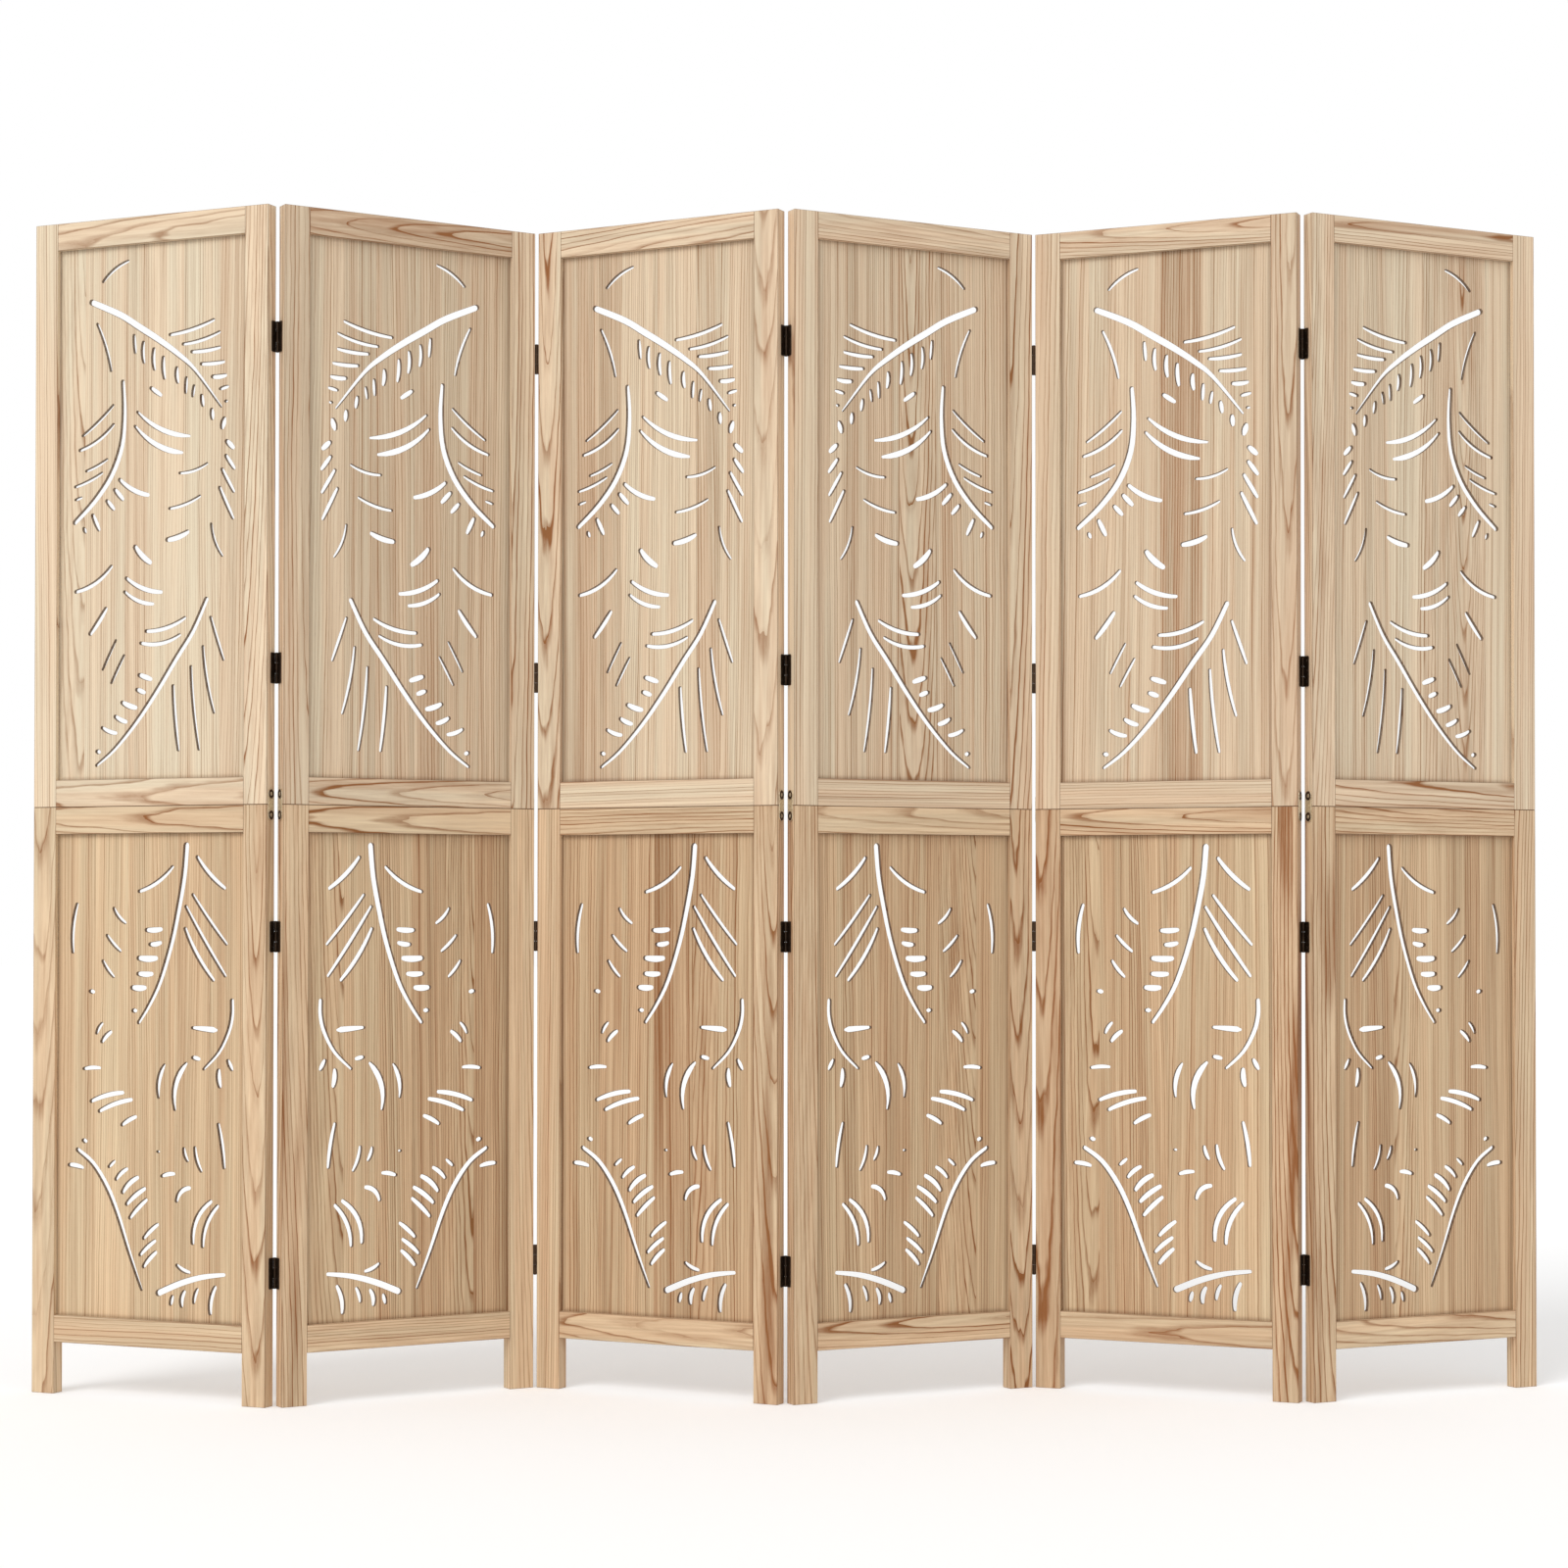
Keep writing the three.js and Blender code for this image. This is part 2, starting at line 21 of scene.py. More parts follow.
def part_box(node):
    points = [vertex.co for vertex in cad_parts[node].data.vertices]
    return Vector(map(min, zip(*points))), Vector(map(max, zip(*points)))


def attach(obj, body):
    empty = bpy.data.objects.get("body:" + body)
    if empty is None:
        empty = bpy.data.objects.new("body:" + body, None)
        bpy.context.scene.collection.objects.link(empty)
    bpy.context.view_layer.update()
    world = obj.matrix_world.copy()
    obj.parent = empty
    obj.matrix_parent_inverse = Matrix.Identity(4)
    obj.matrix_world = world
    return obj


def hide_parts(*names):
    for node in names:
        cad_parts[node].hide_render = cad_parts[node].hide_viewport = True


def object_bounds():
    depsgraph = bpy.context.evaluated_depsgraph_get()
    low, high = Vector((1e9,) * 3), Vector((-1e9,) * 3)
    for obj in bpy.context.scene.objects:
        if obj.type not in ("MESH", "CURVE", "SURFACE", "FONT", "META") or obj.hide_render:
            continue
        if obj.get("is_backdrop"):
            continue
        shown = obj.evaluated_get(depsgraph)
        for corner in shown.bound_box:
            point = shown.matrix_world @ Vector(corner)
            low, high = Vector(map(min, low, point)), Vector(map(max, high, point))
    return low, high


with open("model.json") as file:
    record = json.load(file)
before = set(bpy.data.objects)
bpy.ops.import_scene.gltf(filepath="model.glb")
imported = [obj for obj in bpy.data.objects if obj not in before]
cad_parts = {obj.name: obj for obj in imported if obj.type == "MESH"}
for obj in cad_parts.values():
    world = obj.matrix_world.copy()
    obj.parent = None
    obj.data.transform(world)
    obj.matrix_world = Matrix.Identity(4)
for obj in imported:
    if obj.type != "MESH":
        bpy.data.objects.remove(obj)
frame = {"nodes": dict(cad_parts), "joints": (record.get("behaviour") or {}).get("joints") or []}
cad_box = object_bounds()
print("CAD box, metres:", [round(high - low, 4) for low, high in zip(*cad_box)])

# %% [markdown]
# ## Camera
# The camera stands low, about 0.7 m from the floor, and looks almost level, with the picture
# shifted upwards, so that upright edges stay upright. A lens of 76 mm on a 36 mm sensor, almost
# five metres away, gives a gentle perspective. The shift does in Blender what a view camera's
# rising front does.

# %% Camera
CAMERA_PLACE = (-0.0086, -4.7630, 0.6927)
CAMERA_TILT = math.radians(90.873)  # 90 degrees is level
CAMERA_ROLL = math.radians(0.039)


def helper(name, data):
    """A new object in the scene."""
    made = bpy.data.objects.new(name, data)
    bpy.context.scene.collection.objects.link(made)
    return made


camera_data = bpy.data.cameras.new("picture_camera")
camera_data.lens = 75.57
camera_data.sensor_width = 36
camera_data.shift_y = 0.0522
camera = helper("picture_camera", camera_data)
turn = Matrix.Rotation(CAMERA_TILT, 4, "X") @ Matrix.Rotation(CAMERA_ROLL, 4, "Z")
camera.matrix_world = Matrix.Translation(CAMERA_PLACE) @ turn
bpy.context.scene.camera = camera
print("camera at", CAMERA_PLACE)

# %% [markdown]
# ## Sizes of the woodwork
# All six panels have the same sizes, and only their places differ. So each piece is drawn once in
# a panel's own directions: u from its left edge, v from its front face to the back, z up. The
# sizes are those of the CAD model, in metres, and what can be measured on a solid is measured.

# %% Sizes of the woodwork
THICKNESS = 0.021
STILE = 0.038  # width of an upright stick
RAIL = 0.039  # height of a level one
LEG = 0.0745
BOARD = 0.006
GROOVE = 0.008  # depth of the groove that holds the board
SEAT_GAP = 0.0003
EASED_EDGE = 0.0006  # how far the sharp edges are sanded off
PANELS = range(1, 7)
U, V, Z = Vector((1, 0, 0)), Vector((0, 1, 0)), Vector((0, 0, 1))  # a panel's own directions


def reach(node, direction):
    """Lowest and highest place of a CAD node along a direction."""
    along = [vertex.co.dot(direction) for vertex in frame["nodes"][node].data.vertices]
    return min(along), max(along)


def panel_place(number):
    """The matrix from a panel's own (u, v, z) to the screen, read off its lower board."""
    board = f"panel_{number}_lower_board"
    back = max(frame["nodes"][board].data.polygons, key=lambda face: face.area).normal.copy()
    if back.y < 0:
        back.negate()
    along = Vector((back.y, -back.x, 0))
    front = sum(reach(board, back)) / 2 - THICKNESS / 2
    left = reach(f"panel_{number}_upper_frame", along)[0]
    turn = Matrix((along, back, Z)).transposed().to_4x4()
    return Matrix.Translation(along * left + back * front) @ turn


PLACES = {number: panel_place(number) for number in PANELS}
last_left, last_right = reach("panel_6_upper_frame", PLACES[6].col[0].to_3d())
WIDTH = last_right - last_left
HEIGHTS = {}
for section in ("upper", "lower"):
    low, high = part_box(f"panel_1_{section}_frame")
    HEIGHTS[section] = (low.z, high.z)


def section_opening(section):
    """Where the opening between a section's rails begins and ends."""
    low, high = HEIGHTS[section]
    legs = LEG if section == "lower" else 0
    return low + legs + RAIL, high - RAIL


print("panel width", round(WIDTH, 4), "heights", HEIGHTS)

# %% [markdown]
# ## Helpers for node trees
# Materials and Geometry Nodes are both trees of nodes. These short helpers make a tree with named
# sockets, add a node and feed its inputs from other nodes or from plain values. They keep the
# recipes below readable, because each line then says what goes into what.

# %% Helpers for node trees
KINDS = {
    "number": "NodeSocketFloat",
    "whole number": "NodeSocketInt",
    "vector": "NodeSocketVector",
    "colour": "NodeSocketColor",
    "shape": "NodeSocketGeometry",
    "object": "NodeSocketObject",
    "material": "NodeSocketMaterial",
}


def new_tree(name, tree_type, inputs, outputs):
    """A node group with named sockets: returns it, its inputs to read and its outputs to fill."""
    tree = bpy.data.node_groups.new(name, tree_type)
    for socket, kind in inputs.items():
        tree.interface.new_socket(socket, in_out="INPUT", socket_type=KINDS[kind])
    for socket, kind in outputs.items():
        tree.interface.new_socket(socket, in_out="OUTPUT", socket_type=KINDS[kind])
    return tree, tree.nodes.new("NodeGroupInput").outputs, tree.nodes.new("NodeGroupOutput").inputs


def feed(tree, socket, source):
    """Link a socket to an output, or set it to a plain value."""
    if isinstance(source, bpy.types.NodeSocket):
        tree.links.new(source, socket)
    else:
        socket.default_value = source


def add_node(tree, node_type, feeds=None, **settings):
    node = tree.nodes.new(node_type)
    for setting, value in settings.items():
        setattr(node, setting, value)
    for socket, source in (feeds or {}).items():
        feed(tree, node.inputs[socket], source)
    return node


def maths(tree, operation, *values):
    return add_node(tree, "ShaderNodeMath", dict(enumerate(values)), operation=operation).outputs[0]


def vector_maths(tree, operation, *values):
    feeds = dict(enumerate(values))
    return add_node(tree, "ShaderNodeVectorMath", feeds, operation=operation).outputs[0]


def combined(tree, x=0.0, y=0.0, z=0.0):
    return add_node(tree, "ShaderNodeCombineXYZ", {0: x, 1: y, 2: z}).outputs[0]


def separated(tree, vector):
    return add_node(tree, "ShaderNodeSeparateXYZ", {0: vector}).outputs


def ranged(tree, value, low, high, at_low, at_high, way="LINEAR"):
    """Goes from at_low to at_high while the value goes from low to high."""
    feeds = {0: value, 1: low, 2: high, 3: at_low, 4: at_high}
    return add_node(tree, "ShaderNodeMapRange", feeds, interpolation_type=way).outputs[0]


def eased(tree, value, low, high):
    """0 below low, 1 above high, and a smooth step between them."""
    return ranged(tree, value, low, high, 0.0, 1.0, "SMOOTHSTEP")


# %% [markdown]
# ## How the wood is described
# Wood is a solid, so its figure should run on round every edge and show growth rings on the end
# grain. Each stick or plank therefore carries an attribute, log, that says for every corner where
# in the tree trunk it was sawn from: x and y are across the trunk from its middle, z runs along it.
# A plank sawn far to one side of the middle shows straight lines, and one sawn flat just in front
# of it shows long arches. A second attribute, character, holds how dark the piece is, how strong
# its lines are and how much brown heartwood runs through it. A third, panel_place, is simply the
# place in the panel, and shows how near the frame a spot of the board is.

# %% How the wood is described
def sawn(random_source, across, depth, grain, middle, flat):
    """The matrix from a panel's (u, v, z) to the trunk that a stick or plank was sawn from."""
    between, side = random_source.uniform, random_source.choice((-1, 1))
    if flat:
        pith = (between(-0.040, 0.040), side * between(0.018, 0.045))
        lean = math.radians(side * between(0.8, 3.0))
    else:
        pith = (side * between(0.10, 0.28), between(-0.03, 0.03))
        lean = math.radians(between(-0.6, 0.6))
    sway = math.radians(between(-0.9, 0.9))
    turn = Matrix((across, depth, grain)).to_4x4() @ Matrix.Translation(-Vector(middle))
    tilt = Matrix(((1, 0, math.tan(sway)), (0, 1, math.tan(lean)), (0, 0, 1))).to_4x4()
    shift = Matrix.Translation((-pith[0], -pith[1], between(0, 40)))
    growth = between(0.75, 1.35)
    return Matrix.Diagonal((growth, growth, 1, 1)) @ shift @ tilt @ turn


def mark_wood(mesh, cuts, cut_of_face):
    """Write log and character on a mesh in panel coordinates. A cut is (matrix, character)."""
    corner_count = len(mesh.loops)
    vertex_of = np.empty(corner_count, np.int32)
    mesh.loops.foreach_get("vertex_index", vertex_of)
    places = np.empty(len(mesh.vertices) * 3, np.float32)
    mesh.vertices.foreach_get("co", places)
    places = places.reshape(-1, 3)[vertex_of]
    sides = np.empty(len(mesh.polygons), np.int32)
    mesh.polygons.foreach_get("loop_total", sides)
    cut_of_corner = np.repeat(np.asarray(cut_of_face), sides)
    log = np.empty((corner_count, 3), np.float32)
    character = np.empty((corner_count, 3), np.float32)
    for number, (matrix, kind) in enumerate(cuts):
        own = cut_of_corner == number
        grid = np.array(matrix)
        log[own] = places[own] @ grid[:3, :3].T + grid[:3, 3]
        character[own] = kind
    for name, values in (("log", log), ("character", character), ("panel_place", places)):
        attribute = mesh.attributes.new(name, "FLOAT_VECTOR", "CORNER")
        attribute.data.foreach_set("vector", values.ravel())


# %% [markdown]
# ## Wood
# The real wood is light and soft, with a thin dark line where each year's growth starts, fading
# into pale wood. Fine fibres run along it, slower streaks make one plank creamy and the next
# brown, and no two rings are alike. One node group works all of this out from the log and gives
# a colour, a mask of the lines and a height for the bump. It is used in four materials, for the
# frames and boards above and below, which differ in warmth and in how brown their streaks are.

# %% Wood: the node group
def noise(tree, place, stretch, detail):
    """Soft random values from 0 to 1, a stretch of 100 giving spots about 10 mm across."""
    stretched = vector_maths(tree, "MULTIPLY", place, stretch)
    feeds = {"Vector": stretched, "Scale": 1.0, "Detail": detail, "Roughness": 0.55}
    return add_node(tree, "ShaderNodeTexNoise", feeds).outputs[0]


def centred(tree, value, strength):
    return maths(tree, "MULTIPLY", maths(tree, "SUBTRACT", value, 0.5), strength)


def mixed(tree, share, colour_a, colour_b, blend_type="MIX"):
    feeds = {0: share, 6: colour_a, 7: colour_b}
    return add_node(tree, "ShaderNodeMix", feeds, data_type="RGBA", blend_type=blend_type).outputs[2]


def wood_group():
    tree, given, result = new_tree(
        "sawn_wood",
        "ShaderNodeTree",
        {"Log": "vector", "Character": "vector", "Ring Width": "number", "Pale": "colour", "Brown": "colour"},
        {"Color": "colour", "Lines": "number", "Height": "number"},
    )
    log = given["Log"]
    tone, figure, heartwood = separated(tree, given["Character"])
    # distance from the middle of the trunk, made a little uneven, counted in rings
    across = vector_maths(tree, "MULTIPLY", log, (1, 1, 0))
    radius = add_node(tree, "ShaderNodeVectorMath", {0: across}, operation="LENGTH").outputs["Value"]
    waves = (((7, 7, 1.1), 1, 0.016), ((45, 45, 7), 2, 0.0040), ((110, 110, 24), 1, 0.0014))
    for stretch, detail, metres in waves:
        radius = maths(tree, "ADD", radius, centred(tree, noise(tree, log, stretch, detail), metres))
    rings = maths(tree, "DIVIDE", radius, given["Ring Width"])
    feeds = {"W": maths(tree, "MULTIPLY", rings, 0.45), "Scale": 1.0}
    slow = add_node(tree, "ShaderNodeTexNoise", feeds, noise_dimensions="1D").outputs[0]
    rings = maths(tree, "ADD", rings, centred(tree, slow, 0.9))
    number, share = maths(tree, "FLOOR", rings), maths(tree, "FRACT", rings)
    feeds = {"W": number}
    chance = add_node(tree, "ShaderNodeTexWhiteNoise", feeds, noise_dimensions="1D").outputs["Value"]
    # the line: sharp on the side of last year's wood, soft on the other, and now and then strong
    soft_side = maths(tree, "SUBTRACT", 1.0, eased(tree, share, 0.0, 0.32))
    line = maths(tree, "MAXIMUM", soft_side, eased(tree, share, 0.90, 1.0))
    strength = maths(tree, "MULTIPLY_ADD", maths(tree, "POWER", chance, 1.6), 0.8, 0.2)
    line = maths(tree, "MULTIPLY", line, strength)
    # fibres, streaks, and the brown heartwood
    fibre = noise(tree, log, (1100, 1100, 16), 2)
    streak = noise(tree, log, (210, 210, 2.6), 3)
    broad = noise(tree, log, (34, 34, 0.9), 2)
    brown_streak = maths(tree, "MULTIPLY", eased(tree, broad, 0.5, 0.72), heartwood)
    # open pores in the early wood, as short dark dashes
    pores = eased(tree, noise(tree, log, (2400, 2400, 110), 0), 0.62, 0.72)
    pores = maths(tree, "MULTIPLY", pores, maths(tree, "MULTIPLY_ADD", soft_side, 0.8, 0.2))
    dark = tone
    for value in (
        centred(tree, chance, 0.14),
        maths(tree, "MULTIPLY", maths(tree, "MULTIPLY", line, figure), 0.86),
        centred(tree, streak, 0.80),
        centred(tree, fibre, 0.20),
        maths(tree, "MULTIPLY", brown_streak, 0.55),
        maths(tree, "MULTIPLY", pores, 0.12),
    ):
        dark = maths(tree, "ADD", dark, value)
    dark = add_node(tree, "ShaderNodeClamp", {0: dark}).outputs[0]
    colour = mixed(tree, dark, given["Pale"], given["Brown"])
    # a drift between pinkish and yellowish wood
    drift = eased(tree, noise(tree, log, (45, 45, 1.6), 1), 0.3, 0.7)
    warm = mixed(tree, drift, (1.035, 0.982, 0.93, 1), (0.978, 1.003, 0.985, 1))
    colour = mixed(tree, 1.0, colour, warm, "MULTIPLY")
    feed(tree, result["Color"], colour)
    feed(tree, result["Lines"], line)
    height = maths(tree, "SUBTRACT", maths(tree, "MULTIPLY", fibre, 0.5), maths(tree, "MULTIPLY", line, 0.35))
    feed(tree, result["Height"], maths(tree, "SUBTRACT", height, maths(tree, "MULTIPLY", pores, 0.6)))
    return tree


SAWN_WOOD = wood_group()
print("wood group:", len(SAWN_WOOD.nodes), "nodes")

# %% [markdown]
# Where the fern pattern is cut through a board, the saw has left dark walls. The eased edges of the
# sticks are toned darker than their faces too, as painted shade that draws the fine dark lines where
# the sticks meet. The woodwork carries a number, cut_wall, which is 1 in both places, and it tones
# the wood down. The boards also get a soft brown band of painted shade along their frames, where the
# frame's recess shades them.

# %% Wood: the four materials
def srgb(red, green, blue):
    """A colour as it is named on a screen, from 0 to 255, turned into Blender's linear values."""
    def linear(value):
        value /= 255
        return value / 12.92 if value <= 0.04045 else ((value + 0.055) / 1.055) ** 2.4
    return (linear(red), linear(green), linear(blue), 1)


def new_material(name):
    material = bpy.data.materials.new(name)
    material.use_nodes = True
    tree = material.node_tree
    return material, tree, tree.nodes["Principled BSDF"]


def attribute(tree, name, output):
    return add_node(tree, "ShaderNodeAttribute", attribute_name=name).outputs[output]


def set_bump(tree, shader, height, strength, distance):
    feeds = {"Height": height, "Strength": strength, "Distance": distance}
    feed(tree, shader.inputs["Normal"], add_node(tree, "ShaderNodeBump", feeds).outputs[0])


def painted_frame_shade(tree, section):
    """Painted shade: 1 on a board right beside its frame, where the recess shades it, and 0 from a finger's
    width inwards.
    """
    sill, head = section_opening(section)
    middle = (WIDTH / 2, 0, (sill + head) / 2)
    half_opening = (WIDTH / 2 - STILE, 0, (head - sill) / 2)
    place = vector_maths(tree, "SUBTRACT", attribute(tree, "panel_place", "Vector"), middle)
    beyond = vector_maths(tree, "SUBTRACT", vector_maths(tree, "ABSOLUTE", place), half_opening)
    past_stile, _, past_rail = separated(tree, beyond)
    return maths(tree, "MAXIMUM", eased(tree, past_stile, -0.010, 0.0), eased(tree, past_rail, -0.007, 0.0))


def wood_material(name, pale, brown, ring_width, cut_wall):
    material, tree, shader = new_material(f"{name}_wood")
    wood = add_node(tree, "ShaderNodeGroup", node_tree=SAWN_WOOD)
    feed(tree, wood.inputs["Log"], attribute(tree, "log", "Vector"))
    feed(tree, wood.inputs["Character"], attribute(tree, "character", "Vector"))
    feed(tree, wood.inputs["Ring Width"], ring_width)
    feed(tree, wood.inputs["Pale"], srgb(*pale))
    feed(tree, wood.inputs["Brown"], srgb(*brown))
    # cut walls and eased edges toned dark: sawn walls on the boards, painted shade on the sticks' eased edges
    dark_wall_and_painted_shade = maths(tree, "MULTIPLY", attribute(tree, "cut_wall", "Fac"), 0.72)
    # painted shade: a soft brown band on a board beside its frame, where the frame's recess shades it
    if name.endswith("board"):
        frame_shade_band = maths(tree, "MULTIPLY", painted_frame_shade(tree, name.removesuffix("_board")), 0.36)
        dark_wall_and_painted_shade = maths(tree, "MAXIMUM", dark_wall_and_painted_shade, frame_shade_band)
    colour = mixed(tree, dark_wall_and_painted_shade, wood.outputs["Color"], srgb(*cut_wall))
    feed(tree, shader.inputs["Base Color"], colour)
    feed(tree, shader.inputs["Roughness"], ranged(tree, wood.outputs["Lines"], 0.0, 1.0, 0.55, 0.72))
    shader.inputs["Specular IOR Level"].default_value = 0.35
    set_bump(tree, shader, wood.outputs["Height"], 0.5, 0.0002)
    return material


# the last colour tones the cut walls and eased edges dark, and is also the colour of the painted shade along
# the boards' frames
WOODS = {
    "upper_frame": wood_material("upper_frame", (240, 220, 192), (148, 95, 52), 0.0052, (112, 74, 44)),
    "lower_frame": wood_material("lower_frame", (238, 213, 179), (144, 91, 47), 0.0052, (108, 68, 38)),
    "upper_board": wood_material("upper_board", (236, 218, 191), (148, 99, 56), 0.0042, (92, 66, 44)),
    "lower_board": wood_material("lower_board", (232, 206, 170), (140, 90, 47), 0.0042, (86, 58, 36)),
}

# %% [markdown]
# ## Black steel and zinc
# The hinges and their screws are blackened steel, a little glossier where hands have rubbed it.
# The washers at the seam are of browned steel, and the small plates under them are a dull zinc
# that hardly stands out from the wood. All are metals, so their colour is in the reflection, and
# small changes in roughness do the rest.

# %% Black steel and zinc
def metal_material(name, colour, worn_colour, roughness, spots, spread):
    """Metal with softly changing polish; spots is how many there are to a metre."""
    material, tree, shader = new_material(name)
    place = add_node(tree, "ShaderNodeTexCoord").outputs["Object"]
    patch = noise(tree, place, (spots, spots, spots), 3)
    share = eased(tree, patch, 0.5 - spread, 0.5 + spread)
    feed(tree, shader.inputs["Base Color"], mixed(tree, share, srgb(*colour), srgb(*worn_colour)))
    polish = ranged(tree, patch, 0.25, 0.75, roughness + 0.12, roughness - 0.1)
    feed(tree, shader.inputs["Roughness"], polish)
    shader.inputs["Metallic"].default_value = 0.9
    set_bump(tree, shader, noise(tree, place, (1500, 1500, 1500), 1), 0.3, 0.00008)
    return material


BLACK_STEEL = metal_material("hinge_steel", (52, 40, 31), (82, 64, 49), 0.40, 70, 0.35)
SCREW_STEEL = metal_material("screw_steel", (42, 34, 28), (84, 66, 52), 0.45, 300, 0.2)
CUP_STEEL = metal_material("cup_washer_steel", (62, 44, 30), (98, 72, 50), 0.50, 300, 0.2)
ZINC = metal_material("zinc_plate", (206, 188, 158), (232, 218, 192), 0.48, 420, 0.08)

# %% [markdown]
# ## Sticks of the frames
# Each frame is two upright stiles with two rails between them. A stick starts as a plain block.
# A Boolean takes out the groove for the board, and a Bevel eases the sharp edges, as sandpaper
# does. The eight sticks are made once, and each panel gets copies that are sawn from other logs.

# %% Sticks of the frames
def finished(form, name):
    """The mesh of a bmesh, with its faces turned outwards."""
    bmesh.ops.recalc_face_normals(form, faces=form.faces)
    mesh = bpy.data.meshes.new(name)
    form.to_mesh(mesh)
    form.free()
    return mesh


def block(low, high):
    form = bmesh.new()
    bmesh.ops.create_cube(form, size=1)
    low, high = Vector(low), Vector(high)
    place = Matrix.LocRotScale((low + high) / 2, None, high - low)
    bmesh.ops.transform(form, matrix=place, verts=form.verts)
    return finished(form, "block")


def plain_mesh(host):
    """The mesh that an object's modifiers make, as plain data; the object itself is removed."""
    graph = bpy.context.evaluated_depsgraph_get()
    mesh = bpy.data.meshes.new_from_object(
        host.evaluated_get(graph), preserve_all_data_layers=True, depsgraph=graph
    )
    host.modifiers.clear()
    bpy.data.objects.remove(host)
    return mesh


def grooved_stick(low, high, groove_low, groove_high):
    stick = helper("stick", block(low, high))
    groove = helper("groove", block(groove_low, groove_high))
    cut = stick.modifiers.new("groove", "BOOLEAN")
    cut.object, cut.operation, cut.solver = groove, "DIFFERENCE", "EXACT"
    ease = stick.modifiers.new("eased edges", "BEVEL")
    ease.width, ease.segments, ease.limit_method = EASED_EDGE, 2, "ANGLE"
    mesh = plain_mesh(stick)
    bpy.data.objects.remove(groove)
    # the eased edges, which the wood material tones dark as painted shade in the lines between the sticks
    slanted = [max(abs(value) for value in face.normal) < 0.99 for face in mesh.polygons]
    mesh.attributes.new("cut_wall", "FLOAT", "FACE").data.foreach_set("value", slanted)
    return mesh


def section_sticks(section):
    """The four sticks of a frame, each as its mesh and the direction of its grain."""
    low, high = HEIGHTS[section]
    sill, head = section_opening(section)
    right = WIDTH - STILE
    half_groove = BOARD / 2 + SEAT_GAP
    near, far = THICKNESS / 2 - half_groove, THICKNESS / 2 + half_groove
    free = 0.002  # the cutting block stands out of the wood by this much
    level, upright = (STILE - free, right + free), (sill - GROOVE, head + GROOVE)
    spans = {  # u and z of the stick, u and z of its groove, and its grain
        "left_stile": ((0, STILE), (low, high), (STILE - GROOVE, STILE + free), upright, "z"),
        "right_stile": ((right, WIDTH), (low, high), (right - free, right + GROOVE), upright, "z"),
        "top_rail": ((STILE, right), (head, high), level, (head - free, head + GROOVE), "u"),
        "bottom_rail": ((STILE, right), (sill - RAIL, sill), level, (sill - GROOVE, sill + free), "u"),
    }
    sticks = {}
    for name, (u, z, groove_u, groove_z, grain) in spans.items():
        ends = [*zip(u, (0, THICKNESS), z), *zip(groove_u, (near, far), groove_z)]
        sticks[name] = grooved_stick(*ends), grain
    return sticks


STICKS = {section: section_sticks(section) for section in HEIGHTS}

# %% [markdown]
# The wood of the real screen is lightest at its left and in its upper half. So each section has
# its own tone, from 0 for creamy to 1 for brown, for its frame and for its board, and each stick
# strays a little from it. A word then names the planks of the board, from the left as they are
# seen: p for a pale one, m for middling, b for brown, s for one with brown streaks, and f for one
# that was sawn flat, with arches.

# %% The frames of all panels
LOOKS = {  # tone of the frame, tone of the board, planks of the board
    (1, "upper"): (0.11, 0.20, "ppmppm"),
    (2, "upper"): (0.24, 0.28, "pmmmmm"),
    (3, "upper"): (0.22, 0.29, "bmppsp"),
    (4, "upper"): (0.20, 0.26, "mmfmm"),
    (5, "upper"): (0.28, 0.38, "pppbpp"),
    (6, "upper"): (0.22, 0.24, "mmpmmp"),
    (1, "lower"): (0.20, 0.22, "mpmmm"),
    (2, "lower"): (0.18, 0.32, "ppmbmb"),
    (3, "lower"): (0.26, 0.38, "msmbsm"),
    (4, "lower"): (0.26, 0.30, "mmbmfm"),
    (5, "lower"): (0.33, 0.36, "msmmmp"),
    (6, "lower"): (0.26, 0.34, "mbppmm"),
}
STREAKY = {  # sticks with a dark streak of heartwood, and how much browner they are than their frame
    "panel_2_upper_top_rail": 0.20,
    "panel_2_lower_left_stile": 0.0,
    "panel_3_upper_left_stile": 0.0,
    "panel_3_lower_right_stile": 0.0,
    "panel_4_lower_left_stile": 0.04,
    "panel_5_lower_left_stile": 0.10,
    "panel_5_lower_right_stile": 0.0,
    "panel_6_lower_left_stile": 0.0,
    "panel_6_upper_top_rail": 0.0,
}
FLAT_STICKS = 0.75  # the share of the sticks that were sawn flat, with arches


def add_piece(name, mesh, place, body, slot, material, *stands_for):
    """Put a finished mesh in its place, tie it to its body, and hide the CAD nodes it stands for; slot is not
    used.
    """
    mesh.transform(place)
    if place.determinant() < 0:
        mesh.flip_normals()
    mesh.name = name
    mesh.materials.clear()
    mesh.materials.append(material)
    piece = helper(name, mesh)
    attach(piece, body)
    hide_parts(*stands_for)
    return piece


def stick_cut(name, grain, mesh, tone):
    chance = random.Random(name)
    middle = sum((Vector(vertex.co) for vertex in mesh.vertices), Vector()) / len(mesh.vertices)
    across, along = (U, Z) if grain == "z" else (Z, U)
    matrix = sawn(chance, across, V, along, middle, flat=chance.random() < FLAT_STICKS)
    heartwood = 0.9 if name in STREAKY else chance.uniform(0.1, 0.5)
    tone += STREAKY.get(name, 0) + chance.uniform(-0.06, 0.06)
    return matrix, (tone, chance.uniform(0.7, 1.25), heartwood)


